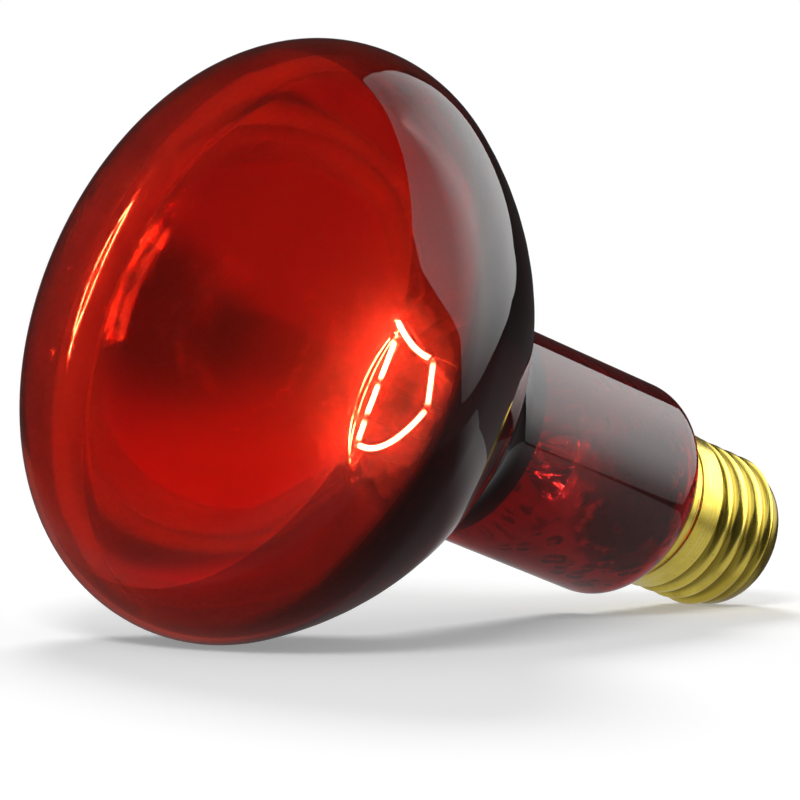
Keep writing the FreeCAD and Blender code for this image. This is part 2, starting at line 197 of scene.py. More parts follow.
def around(count: int) -> Array:
    """Equal angles of one full turn."""
    return np.arange(count) * 2 * math.pi / count


def smooth(share: Array) -> Array:
    """A smooth step: 3 s^2 - 2 s^3 of the share s, held between 0 and 1."""
    share = np.clip(share, 0, 1)
    return share * share * (3 - 2 * share)


def with_ends(rows: Array) -> Array:
    """Rows with the first and last repeated for the rings of the round ends."""
    return np.concatenate([rows[:1]] * len(ROUND_END) + [rows] + [rows[-1:]] * len(ROUND_END))


def turned(outline: Array, columns: int) -> Array:
    """Carries an outline of rows u, r round the axis: (r cos t, r sin t, u) for equal angles t."""
    u, r, angle = outline[:, 0:1], outline[:, 1:2], around(columns)
    return np.stack([r * np.cos(angle), r * np.sin(angle), u + 0 * angle], -1)


def eased(corners: Array, radius: float, steps: int) -> Array:
    """Rounds the corners of a run of straight lines, each by a parabola between its two legs.

    Args:
        corners: the ends of the straight lines, in order.
        radius: how far from each corner its curve starts, at most EASE_LIMIT of the shorter leg.
        steps: points on each curve.

    Returns:
        The path as rows of x, y, u.
    """
    legs = np.diff(corners, axis=0)
    length = np.linalg.norm(legs, axis=1, keepdims=True)
    reach = np.minimum(radius, EASE_LIMIT * np.minimum(length[:-1], length[1:]))
    corner = corners[1:-1]
    before, after = corner - (legs / length)[:-1] * reach, corner + (legs / length)[1:] * reach
    t = np.linspace(0, 1, steps)[None, :, None]
    curve = (1 - t) ** 2 * before[:, None] + 2 * t * (1 - t) * corner[:, None] + t ** 2 * after[:, None]
    return np.concatenate([corners[:1], curve.reshape(-1, 3), corners[-1:]])


def evenly(path: Array, spacing: float) -> tuple[Array, Array]:
    """Places at equal distances along a path.

    Args:
        path: rows of x, y, u.
        spacing: the distance wanted between two places.

    Returns:
        The places, and the distance of each from the start.
    """
    length = np.concatenate([[0], np.cumsum(np.linalg.norm(np.diff(path, axis=0), axis=1))])
    way = np.linspace(0, length[-1], max(2, round(length[-1] / spacing)) + 1)
    return np.stack([np.interp(way, length, path[:, i]) for i in range(3)], 1), way


def swept(path: Array, radius: float, sides: int, reference: Array | None = None) -> Array:
    """Carries a circle along a path, with a half-round cap at both ends.

    Each ring is path + radius (cos t normal + sin t binormal). The normal is the reference direction
    made square to the path; without one it is the direction that the path turns least towards.

    Args:
        path: rows of x, y, u.
        radius: radius of the circle.
        sides: points on each ring.
        reference: one direction, or one for each row of the path.

    Returns:
        Grid of x, y, u by path row and angle, whose first and last rows are single points.
    """
    tangent = tangents(path)
    if reference is None:
        reference = np.linalg.svd(tangent)[2][-1]
    normal = unit(reference - np.sum(reference * tangent, 1, keepdims=True) * tangent)
    first = path[0] - tangent[0] * radius * np.sin(ROUND_END)[:, None]
    last = path[-1] + tangent[-1] * radius * np.sin(ROUND_END[::-1])[:, None]
    size = radius * np.concatenate([np.cos(ROUND_END), np.ones(len(path)), np.cos(ROUND_END[::-1])])
    tangent, normal, angle = with_ends(tangent)[:, None], with_ends(normal)[:, None], around(sides)[:, None]
    ring = normal * np.cos(angle) + np.cross(tangent, normal) * np.sin(angle)
    return np.concatenate([first, path, last])[:, None] + size[:, None, None] * ring


# ---------------------------------------------------------------- meshes and objects


def quads(index: Array) -> Array:
    """Faces of a grid closed round its columns: (i, j), (i, j+1), (i+1, j+1), (i+1, j)."""
    low, high = index[:-1], index[1:]
    return np.stack([low, np.roll(low, -1, 1), np.roll(high, -1, 1), high], -1).reshape(-1, 4)


def new_mesh(name: str, places: list, faces: list, coats: list, fields: dict[str, Array]) -> bpy.types.Mesh:
    """Makes a mesh.

    Args:
        name: the mesh's name.
        places: rows of x, y, z in metres.
        faces: the places of each face.
        coats: its materials.
        fields: named values by place, kept as attributes of the points.

    Returns:
        The mesh.
    """
    mesh = bpy.data.meshes.new(name)
    mesh.from_pydata(places, [], faces)
    for coat in coats:
        mesh.materials.append(coat)
    for label, values in fields.items():
        layer = mesh.attributes.new(label, "FLOAT", "POINT")
        layer.data.foreach_set("value", values.ravel().astype(np.float32))
    return mesh


def placed(name: str, data: bpy.types.ID) -> bpy.types.Object:
    """A new object in the scene, at the origin."""
    new = bpy.data.objects.new(name, data)
    bpy.context.scene.collection.objects.link(new)
    return new


def aim(piece: bpy.types.Object, place: tuple, way: Vector) -> None:
    """Moves a light or the camera to a place, to look along a direction."""
    piece.location = place
    piece.rotation_mode = "QUATERNION"
    piece.rotation_quaternion = way.to_track_quat("-Z", "Y")


class Maker:
    """Turns grids of places into pieces of the lamp that ride on its one body."""

    def __init__(self, axis: LampAxis) -> None:
        """Keeps the lamp's axis, and the materials made so far by finish."""
        self.axis = axis
        self.made = {}

    def coats(self, finish: "Finish") -> list[bpy.types.Material]:
        """Materials of a finish, made once."""
        if finish not in self.made:
            self.made[finish] = [painted(name, shade, self.axis) for name, shade in finish.skins().items()]
        return self.made[finish]

    def dress(self, node: str, finish: "Finish") -> None:
        """Gives the CAD node's own mesh a finish."""
        mesh = frame["nodes"][node].data
        mesh.materials.clear()
        mesh.materials.append(self.coats(finish)[0])

    def piece(self, name: str, grids: Array | list[Array], ends: Ends, finish: "Finish", *nodes: str,
              skins: Array | None = None, fields: dict[str, Array] | None = None) -> bpy.types.Object:
        """Makes one piece from one or more grids, each closed round its columns.

        Where a row is one point its places are shared, so the faces there have three corners.

        Args:
            name: the piece's name.
            grids: grids of x, y, u, with columns that turn anticlockwise about the direction of the rows.
            ends: whether the rows close in a loop or end in points.
            finish: the piece's finish.
            nodes: the CAD nodes that the piece stands for.
            skins: number of the finish's skin for each row of faces.
            fields: named values by grid place, kept as attributes of the points.

        Returns:
            The new object.
        """
        places, faces, start = [], [], 0
        for grid in grids if isinstance(grids, list) else [grids]:
            rows, columns = grid.shape[:2]
            index = start + np.arange(rows * columns).reshape(rows, columns)
            if ends is Ends.POINTS:
                index[0], index[-1] = index[0, 0], index[-1, 0]
            places.append(self.axis.place(grid).reshape(-1, 3))
            faces.append(quads(np.concatenate([index, index[:1]]) if ends is Ends.LOOP else index))
            start += rows * columns
        used, corners = np.unique(np.concatenate(faces), return_inverse=True)
        corners = [list(dict.fromkeys(face)) for face in corners.reshape(-1, 4).tolist()]
        kept = {label: values.ravel()[used] for label, values in (fields or {}).items()}
        mesh = new_mesh(name, np.concatenate(places)[used].tolist(), corners, self.coats(finish), kept)
        if skins is not None:
            mesh.polygons.foreach_set("material_index", np.repeat(skins, columns).astype(np.int32))
        mesh.shade_smooth()
        mesh.set_sharp_from_angle(angle=SHARP_ANGLE)
        piece = placed(name, mesh)
        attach(piece, "root")
        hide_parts(*nodes)
        LOG.info("%s: %d faces, for %s", name, len(mesh.polygons), ", ".join(nodes))
        return piece


# ---------------------------------------------------------------- shader building


class Socket:
    """A value in a shader. Sums, differences and products of it add their Math nodes."""

    def __init__(self, graph: "Graph", plug: bpy.types.NodeSocket) -> None:
        """Wraps one output of a node."""
        self.graph = graph
        self.plug = plug

    def _math(self, operation: str, first: "Socket | float", second: "Socket | float") -> "Socket":
        """One Math node on two values."""
        return self.graph.add("ShaderNodeMath", {"operation": operation}, {0: first, 1: second})

    def __add__(self, other: "Socket | float") -> "Socket":
        """self + other."""
        return self._math("ADD", self, other)

    def __mul__(self, other: "Socket | float") -> "Socket":
        """self * other."""
        return self._math("MULTIPLY", self, other)

    def __sub__(self, other: "Socket | float") -> "Socket":
        """self - other."""
        return self._math("SUBTRACT", self, other)

    def __rsub__(self, other: "Socket | float") -> "Socket":
        """other - self."""
        return self._math("SUBTRACT", other, self)

    __radd__ = __add__
    __rmul__ = __mul__

    def rising(self, low: float, high: float) -> "Socket":
        """A smooth step from 0 at low to 1 at high."""
        return self.graph.add("ShaderNodeMapRange", {"interpolation_type": "SMOOTHSTEP"},
                              {"Value": self, "From Min": low, "From Max": high})


Feed = Socket | float | tuple | None


@dataclass(frozen=True)
class Pattern:
    """A noise: its features in a metre, its finer layers, its levels, and factors that draw it out.

    Where it has levels, it rises by a smooth step from 0 at the first to 1 at the second.
    """

    scale: float
    detail: float = 2.0
    levels: tuple | None = None
    stretch: tuple | None = None


class Graph:
    """The nodes of one material or of the world."""

    def __init__(self, tree: bpy.types.NodeTree, axis: LampAxis | None = None) -> None:
        """Starts with an empty tree, whose patterns follow the lamp's axis where one is given."""
        self.tree = tree
        self.axis = axis
        tree.nodes.clear()

    def add(self, kind: str, settings: dict | None = None, values: dict | None = None,
            output: int | str = 0) -> Socket:
        """Adds one node.

        Args:
            kind: the node's type.
            settings: its settings, set first.
            values: value or link of each socket, by name or number.
            output: which output to give back.

        Returns:
            That output.
        """
        node = self.tree.nodes.new(kind)
        for key, value in (settings or {}).items():
            setattr(node, key, value)
        for key, value in (values or {}).items():
            plug = node.inputs[key]
            if isinstance(value, Socket):
                self.tree.links.new(value.plug, plug)
            elif isinstance(value, tuple) and len(value) == 3 and plug.type == "RGBA":
                plug.default_value = (*value, 1.0)
            elif value is not None:
                plug.default_value = value
        return Socket(self, node.outputs[output] if len(node.outputs) else None)

    def blend(self, first: Feed, second: Feed, factor: Feed) -> Socket:
        """A colour between two by a factor: the Mix node's inputs 6 and 7 and output 2 are its colours."""
        return self.add("ShaderNodeMix", {"data_type": "RGBA"}, {0: factor, 6: first, 7: second}, 2)

    def mixed(self, first: Socket, second: Socket, factor: Feed) -> Socket:
        """A shader between two by a factor."""
        return self.add("ShaderNodeMixShader", None, {0: factor, 1: first, 2: second})

    def principled(self, values: dict) -> Socket:
        """A Principled surface with these values."""
        return self.add("ShaderNodeBsdfPrincipled", None, values)

    def glow(self, strength: Feed) -> Socket:
        """A white emission."""
        return self.add("ShaderNodeEmission", None, {"Color": (1.0, 1.0, 1.0), "Strength": strength})

    def field(self, name: str) -> Socket:
        """A value kept with the points of the mesh."""
        return self.add("ShaderNodeAttribute", {"attribute_name": name}, output="Fac")

    def coordinates(self, kind: str = "Object") -> Socket:
        """Texture coordinates."""
        return self.add("ShaderNodeTexCoord", output=kind)

    def vector(self, operation: str, first: Feed, second: Feed = None) -> Socket:
        """One Vector Math node, read as a number where the operation gives one."""
        output = "Value" if operation in ("DOT_PRODUCT", "LENGTH") else "Vector"
        return self.add("ShaderNodeVectorMath", {"operation": operation}, {0: first, 1: second}, output)

    def part(self, vector: Socket, number: int) -> Socket:
        """One of a vector's three numbers."""
        return self.add("ShaderNodeSeparateXYZ", None, {0: vector}, number)

    def rays(self) -> list[Socket]:
        """Whether a ray comes from the camera, from a reflection or through glass, where two can be 1."""
        return [self.add("ShaderNodeLightPath", output=f"Is {kind} Ray")
                for kind in ("Camera", "Glossy", "Transmission")]

    @cached_property
    def place(self) -> Socket:
        """Object coordinates, turned so that Z runs along the lamp's axis where the graph has one.

        Returns:
            The coordinates.
        """
        if self.axis is None:
            return self.coordinates()
        turn = -math.pi / 2 - math.asin(-self.axis.along[2])
        return self.add("ShaderNodeMapping", None,
                        {"Vector": self.coordinates(), "Rotation": (0.0, turn, 0.0)})

    @cached_property
    def height(self) -> Socket:
        """Height u in millimetres."""
        return self.part(self.place, 2) * (1 / MM) + self.axis.foot_u

    def noise(self, pattern: Pattern) -> Socket:
        """A noise between 0 and 1, stepped between its levels where it has them.

        Args:
            pattern: its scale, layers, levels and stretch.

        Returns:
            The noise.
        """
        place = self.place
        if pattern.stretch:
            place = self.add("ShaderNodeMapping", None, {"Vector": place, "Scale": pattern.stretch})
        noise = self.add("ShaderNodeTexNoise", None,
                         {"Vector": place, "Scale": pattern.scale, "Detail": pattern.detail})
        return noise.rising(*pattern.levels) if pattern.levels else noise

    def bump(self, height: Socket, depth: float, strength: float = 1.0) -> Socket:
        """A normal bent by a height field of that depth in metres."""
        return self.add("ShaderNodeBump", None, {"Height": height, "Distance": depth, "Strength": strength})

    def finish(self, shader: Socket) -> None:
        """Feeds a shader to the tree's output."""
        world = any(node.type == "BACKGROUND" for node in self.tree.nodes)
        self.add("ShaderNodeOutputWorld" if world else "ShaderNodeOutputMaterial", None, {"Surface": shader})


Shade = Callable[[Graph], Socket]


def painted(name: str, shade: Shade, axis: LampAxis | None = None) -> bpy.types.Material:
    """Makes a material.

    Args:
        name: the material's name.
        shade: gives its shader from its graph.
        axis: the axis that its patterns follow.

    Returns:
        The material.
    """
    material = bpy.data.materials.new(name)
    material.use_nodes = True
    graph = Graph(material.node_tree, axis)
    graph.finish(shade(graph))
    return material


# ---------------------------------------------------------------- finishes


class Finish:
    """A finish of a piece: its slot in the record, and a shader for each of its skins."""

    name: str
    slot: str

    def shade(self, graph: Graph) -> Socket:
        """Shader of a finish with one skin."""
        raise NotImplementedError

    def skins(self) -> dict[str, Shade]:
        """Shader of each skin, by the name of its material."""
        return {self.name: self.shade}


@dataclass(frozen=True)
class RubyGlass(Finish):
    """Blown glass stained ruby: clearest at the face, darkest over the film, between the two at the neck.

    The outer skin is fire polished. The inner skin is faintly hazy, and hazier along the neck, where the
    fusing left it dimpled.
    """

    slot = "ruby_glass"
    face_tint: Colour = (0.75, 0.05, 0.022)
    back_tint: Colour = (0.11, 0.003, 0.004)
    neck_tint: Colour = (0.52, 0.014, 0.016)
    cloud_tint: Colour = (0.3, 0.01, 0.01)
    # Heights between which one tint turns into the next, and the neck's skin into a fused one.
    back_heights: tuple = (-2.0, 6.0)
    neck_heights: tuple = (40.0, 45.0)
    fused_heights: tuple = (48.0, 60.0)
    index: float = 1.5
    clouds: Pattern = Pattern(45, 3, (0.35, 0.75))
    cloud: float = 0.12
    smudges: Pattern = Pattern(160, 4, (0.55, 0.8))
    smudge: float = 0.012
    waves: Pattern = Pattern(38, 1)
    # A relief is its depth in metres and its strength.
    wave_relief: tuple = (0.00006, 0.6)
    dimple_depth: float = 0.00025
    dimple_scale: float = 300.0
    dimple_edges: tuple = (0.5, 0.1)
    dimple_waves: Pattern = Pattern(90, 1)
    haze: float = 0.10
    neck_haze: float = 0.4
    haze_roughness: float = 0.37
    # The haze is patchy: its least cover, and what the patches add.
    haze_patches: Pattern = Pattern(60, 3)
    patch_least: float = 0.8
    patch_more: float = 0.4

    def skins(self) -> dict[str, Shade]:
        """The outer and the inner skin."""
        return {"ruby_outside": self.outside, "ruby_inside": self.inside}

    def glass(self, graph: Graph, relief: Socket) -> dict:
        """What both skins share: glass whose stain follows the height, with faint clouds.

        Args:
            graph: the material's graph.
            relief: the skin's normal.

        Returns:
            Values of the Principled surface, without its roughness.
        """
        colour = graph.blend(self.face_tint, self.back_tint, graph.height.rising(*self.back_heights))
        colour = graph.blend(colour, self.neck_tint, graph.height.rising(*self.neck_heights))
        colour = graph.blend(colour, self.cloud_tint, graph.noise(self.clouds) * self.cloud)
        return {"Base Color": colour, "IOR": self.index, "Transmission Weight": 1.0, "Normal": relief}

    def outside(self, graph: Graph) -> Socket:
        """The polished skin, with handling marks and a slow waviness."""
        glass = self.glass(graph, graph.bump(graph.noise(self.waves), *self.wave_relief))
        return graph.principled({**glass, "Roughness": graph.noise(self.smudges) * self.smudge})

    def inside(self, graph: Graph) -> Socket:
        """The hazy skin: mostly clear, with a share that scatters, and dimples along the neck.

        Args:
            graph: the material's graph.

        Returns:
            The shader.
        """
        fused = graph.height.rising(*self.fused_heights)
        cell = graph.add("ShaderNodeTexVoronoi", None, {"Vector": graph.place, "Scale": self.dimple_scale})
        dimples = cell.rising(*self.dimple_edges) + graph.noise(self.dimple_waves)
        glass = self.glass(graph, graph.bump(dimples * fused, self.dimple_depth))
        clear, hazy = (graph.principled({**glass, "Roughness": roughness})
                       for roughness in (0.0, self.haze_roughness))
        patch = graph.noise(self.haze_patches) * self.patch_more + self.patch_least
        return graph.mixed(clear, hazy, patch * (fused * self.neck_haze + self.haze))


@dataclass(frozen=True)
class MirrorFilm(Finish):
    """Metal film on the inside of the back: thin at its front edge, where it lets some light through."""

    slot = "mirror_film"
    colour: Colour = (0.96, 0.62, 0.46)
    stained: Colour = (0.88, 0.50, 0.36)
    back: Colour = (0.012, 0.002, 0.002)
    back_speck: Colour = (0.03, 0.005, 0.004)
    back_roughness: float = 0.45
    roughness: float = 0.05
    metal: float = 0.5
    coat_index: float = 1.8
    coat_roughness: float = 0.015
    specks: Pattern = Pattern(900, 3, (0.4, 0.7))
    stains: Pattern = Pattern(70, 4, (0.3, 0.75))
    stain_roughness: float = 0.03
    # Heights between which the film turns from part metal to metal, from its edge to a thin band, and whole.
    metal_heights: tuple = (1.0, 9.0)
    thin_heights: tuple = (-11.4, -7.5)
    whole_heights: tuple = (-4.0, 1.0)
    front_alpha: float = 0.25
    thin_alpha: float = 0.4

    def skins(self) -> dict[str, Shade]:
        """The side that faces the glass and the mirror side."""
        return {"film_behind": self.behind, "film_mirror": self.mirror}

    def alpha(self, graph: Graph) -> Socket:
        """Cover of the film by height: least at its front edge, more over a thin band, then whole."""
        thin = graph.height.rising(*self.thin_heights) * (self.thin_alpha - self.front_alpha)
        return thin + graph.height.rising(*self.whole_heights) * (1 - self.thin_alpha) + self.front_alpha

    def behind(self, graph: Graph) -> Socket:
        """The dull dark side, with specks.

        Args:
            graph: the material's graph.

        Returns:
            The shader.
        """
        speck = graph.noise(self.specks)
        return graph.principled({"Base Color": graph.blend(self.back, self.back_speck, speck),
                                 "Roughness": self.back_roughness, "Specular IOR Level": 0.0,
                                 "Alpha": self.alpha(graph)})

    def mirror(self, graph: Graph) -> Socket:
        """The mirror, stained in patches, under a clear coat.

        Args:
            graph: the material's graph.

        Returns:
            The shader.
        """
        patch = graph.noise(self.stains)
        return graph.principled({
            "Base Color": graph.blend(self.colour, self.stained, patch),
            "Metallic": graph.height.rising(*self.metal_heights) * (1 - self.metal) + self.metal,
            "Roughness": patch * self.stain_roughness + self.roughness,
            "Coat Weight": 1.0,
            "Coat IOR": self.coat_index,
            "Coat Roughness": self.coat_roughness,
            "Alpha": self.alpha(graph),
        })


@dataclass(frozen=True)
class StemGlass(Finish):
    """Clear lead glass of the stem, with drawn streaks and a few seeds."""

    name = "stem_glass"
    slot = "clear_glass"
    colour: Colour = (0.97, 0.985, 0.97)
    seed: Colour = (0.86, 0.9, 0.88)
    index: float = 1.56
    seeds: Pattern = Pattern(500, 2, (0.6, 0.8))
    streaks: Pattern = Pattern(300, 2, None, (1.0, 1.0, 0.12))
    streak_levels: tuple = (0.55, 0.8)
    streak_roughness: float = 0.02
    streak_relief: tuple = (0.00025, 0.7)

    def shade(self, graph: Graph) -> Socket:
        """Streaks run along the stem, and the seeds tint it.

        Args:
            graph: the material's graph.

        Returns:
            The shader.
        """
        streak = graph.noise(self.streaks)
        return graph.principled({
            "Base Color": graph.blend(self.colour, self.seed, graph.noise(self.seeds)),
            "Roughness": streak.rising(*self.streak_levels) * self.streak_roughness,
            "IOR": self.index,
            "Transmission Weight": 1.0,
            "Normal": graph.bump(streak, *self.streak_relief),
        })


@dataclass(frozen=True)
class GlowingTungsten(Finish):
    """White-hot tungsten wire, duller where a holder carries its heat away."""

    name = "glowing_tungsten"
    slot = "tungsten"
    metal: Colour = (0.16, 0.15, 0.15)
    grain: Colour = (0.3, 0.28, 0.27)
    hot: Colour = (1.0, 0.97, 0.9)
    dull: Colour = (0.02, 0.004, 0.001)
    strength: float = 220.0
    grains: Pattern = Pattern(9000, 1)
    roughness: float = 0.45

    def shade(self, graph: Graph) -> Socket:
        """The glow follows the heat kept with each point of the coil.

        Args:
            graph: the material's graph.

        Returns:
            The shader.
        """
        return graph.principled({
            "Base Color": graph.blend(self.metal, self.grain, graph.noise(self.grains)),
            "Metallic": 1.0,
            "Roughness": self.roughness,
            "Emission Color": graph.blend(self.dull, self.hot, graph.field("coil_heat")),
            "Emission Strength": self.strength,
        })


@dataclass(frozen=True)
class DrawnWire(Finish):
    """Metal wire with the lengthwise lines of drawing and a patchy oxide."""

    name: str
    slot: str
    colour: Colour
    oxide: Colour
    roughness: float
    patches: Pattern = Pattern(420, 3, (0.4, 0.7))
    oxide_roughness: float = 0.2
    lines: Pattern = Pattern(4000, 2, None, (1.0, 1.0, 0.05))
    line_relief: tuple = (0.00002, 0.6)

    def shade(self, graph: Graph) -> Socket:
        """Fine lines run along the lamp, and the oxide is rougher.

        Args:
            graph: the material's graph.

        Returns:
            The shader.
        """
        patch = graph.noise(self.patches)
        return graph.principled({
            "Base Color": graph.blend(self.colour, self.oxide, patch),
            "Metallic": 1.0,
            "Roughness": patch * self.oxide_roughness + self.roughness,
            "Normal": graph.bump(graph.noise(self.lines), *self.line_relief),
        })


@dataclass(frozen=True)
class RolledBrass(Finish):
    """Thin rolled brass with turning marks, fine scratches, a light olive tarnish, and painted shade in the
    grooves.
    """

    name = "rolled_brass"
    slot = "brass"
    bright: Colour = (0.93, 0.73, 0.12)
    tarnish: Colour = (0.36, 0.25, 0.015)
    worn: Colour = (0.96, 0.84, 0.36)
    # Painted shade: the dark colour laid into the thread's roots and the seam, and over the small contact
    # plate, by distance from the axis.
    groove_shade: Colour = (0.16, 0.11, 0.01)
    groove_shade_radii: tuple = (0.0128, 0.0121)
    marks: Pattern = Pattern(90, 4, None, (1.0, 1.0, 42.0))
    scratches: Pattern = Pattern(500, 3, None, (1.0, 1.0, 20.0))
    patches: Pattern = Pattern(130, 5, (0.42, 0.68))
    specks: Pattern = Pattern(2600, 3, (0.62, 0.74))
    mark_levels: tuple = (0.5, 0.75)
    # How much the patches, the marks, the painted groove shade and the specks cover.
    covers: tuple = (0.45, 0.6, 0.8, 0.6)
    roughness: float = 0.16
    patch_roughness: float = 0.12
    scratch_roughness: float = 0.1
    # Shares of the marks and the scratches in the relief, and the relief's depth and strength.
    relief_shares: tuple = (0.6, 0.5)
    relief: tuple = (0.00005, 0.6)

    def shade(self, graph: Graph) -> Socket:
        """Marks run round the cap, tarnish lies in patches, and shade is painted darker the deeper the groove
        is.

        Args:
            graph: the material's graph.

        Returns:
            The shader.
        """
        marks, fine = graph.noise(self.marks), graph.noise(self.scratches)
        patch, speck = graph.noise(self.patches), graph.noise(self.specks)
        radius = graph.vector("LENGTH", graph.vector("MULTIPLY", graph.place, (1.0, 1.0, 0.0)))
        layers = ((self.tarnish, patch), (self.worn, marks.rising(*self.mark_levels)),
                  # The third layer is painted shade: the brass is darker the nearer it lies to the axis, so
                  # in the grooves.
                  (self.groove_shade, radius.rising(*self.groove_shade_radii)), (self.tarnish, speck))
        colour = self.bright
        for (layer, mask), cover in zip(layers, self.covers):
            colour = graph.blend(colour, layer, mask * cover)
        mark_share, fine_share = self.relief_shares
        relief = graph.bump(marks * mark_share + fine * fine_share, *self.relief)
        roughness = patch * self.patch_roughness + fine * self.scratch_roughness + self.roughness
        return graph.principled({"Base Color": colour, "Metallic": 1.0, "Roughness": roughness,
                                 "Normal": relief})


@dataclass(frozen=True)
class BasingCement(Finish):
    """Baked basing cement, granular and slightly scorched."""

    name = "basing_cement"
    slot = "cement"
    pale: Colour = (0.60, 0.52, 0.38)
    scorched: Colour = (0.30, 0.22, 0.13)
    grains: Pattern = Pattern(2200, 4)
    lumps: Pattern = Pattern(350, 3)
    # Shares of the lumps and the grains in the scorch, and the levels between which it shows.
    scorch_shares: tuple = (0.6, 0.4)
    scorch_levels: tuple = (0.4, 0.65)
    roughness: float = 0.9
    grain_relief: float = 0.5
    relief_depth: float = 0.0003

    def shade(self, graph: Graph) -> Socket:
        """Fine grain over lumps, scorched where both are high.

        Args:
            graph: the material's graph.

        Returns:
            The shader.
        """
        grain, lump = graph.noise(self.grains), graph.noise(self.lumps)
        lump_share, grain_share = self.scorch_shares
        scorch = (lump * lump_share + grain * grain_share).rising(*self.scorch_levels)
        return graph.principled({"Base Color": graph.blend(self.pale, self.scorched, scorch),
                                 "Roughness": self.roughness,
                                 "Normal": graph.bump(grain * self.grain_relief + lump, self.relief_depth)})


@dataclass(frozen=True)
class BlackGlass(Finish):
    """Black pressed glass of the cap's insulator, with mould lines and a little dust."""

    name = "black_glass"
    slot = "black_glass"
    colour: Colour = (0.012, 0.012, 0.014)
    dust: Colour = (0.10, 0.095, 0.085)
    dusting: Pattern = Pattern(1400, 5, (0.58, 0.78))
    dust_cover: float = 0.5
    roughness: float = 0.12
    dust_roughness: float = 0.4
    mould_lines: Pattern = Pattern(260, 2)
    mould_relief: tuple = (0.0003, 0.6)

    def shade(self, graph: Graph) -> Socket:
        """Dust dulls the glass where it lies.

        Args:
            graph: the material's graph.

        Returns:
            The shader.
        """
        dust = graph.noise(self.dusting)
        return graph.principled({"Base Color": graph.blend(self.colour, self.dust, dust * self.dust_cover),
                                 "Roughness": dust * self.dust_roughness + self.roughness,
                                 "Normal": graph.bump(graph.noise(self.mould_lines), *self.mould_relief)})


@dataclass(frozen=True)
class TinSolder(Finish):
    """Tin solder that froze in a dull, slightly wrinkled bead."""

    name = "tin_solder"
    slot = "solder"
    colour: Colour = (0.74, 0.74, 0.72)
    dull: Colour = (0.42, 0.42, 0.41)
    wrinkles: Pattern = Pattern(1500, 3)
    dull_levels: tuple = (0.4, 0.7)
    roughness: float = 0.18
    wrinkle_roughness: float = 0.3
    wrinkle_relief: tuple = (0.00012, 0.8)

    def shade(self, graph: Graph) -> Socket:
        """One wrinkle drives the colour, the roughness and the relief.

        Args:
            graph: the material's graph.

        Returns:
            The shader.
        """
        wrinkle = graph.noise(self.wrinkles)
        dull = wrinkle.rising(*self.dull_levels)
        return graph.principled({"Base Color": graph.blend(self.colour, self.dull, dull), "Metallic": 1.0,
                                 "Roughness": wrinkle * self.wrinkle_roughness + self.roughness,
                                 "Normal": graph.bump(wrinkle, *self.wrinkle_relief)})


# ---------------------------------------------------------------- glass bulb


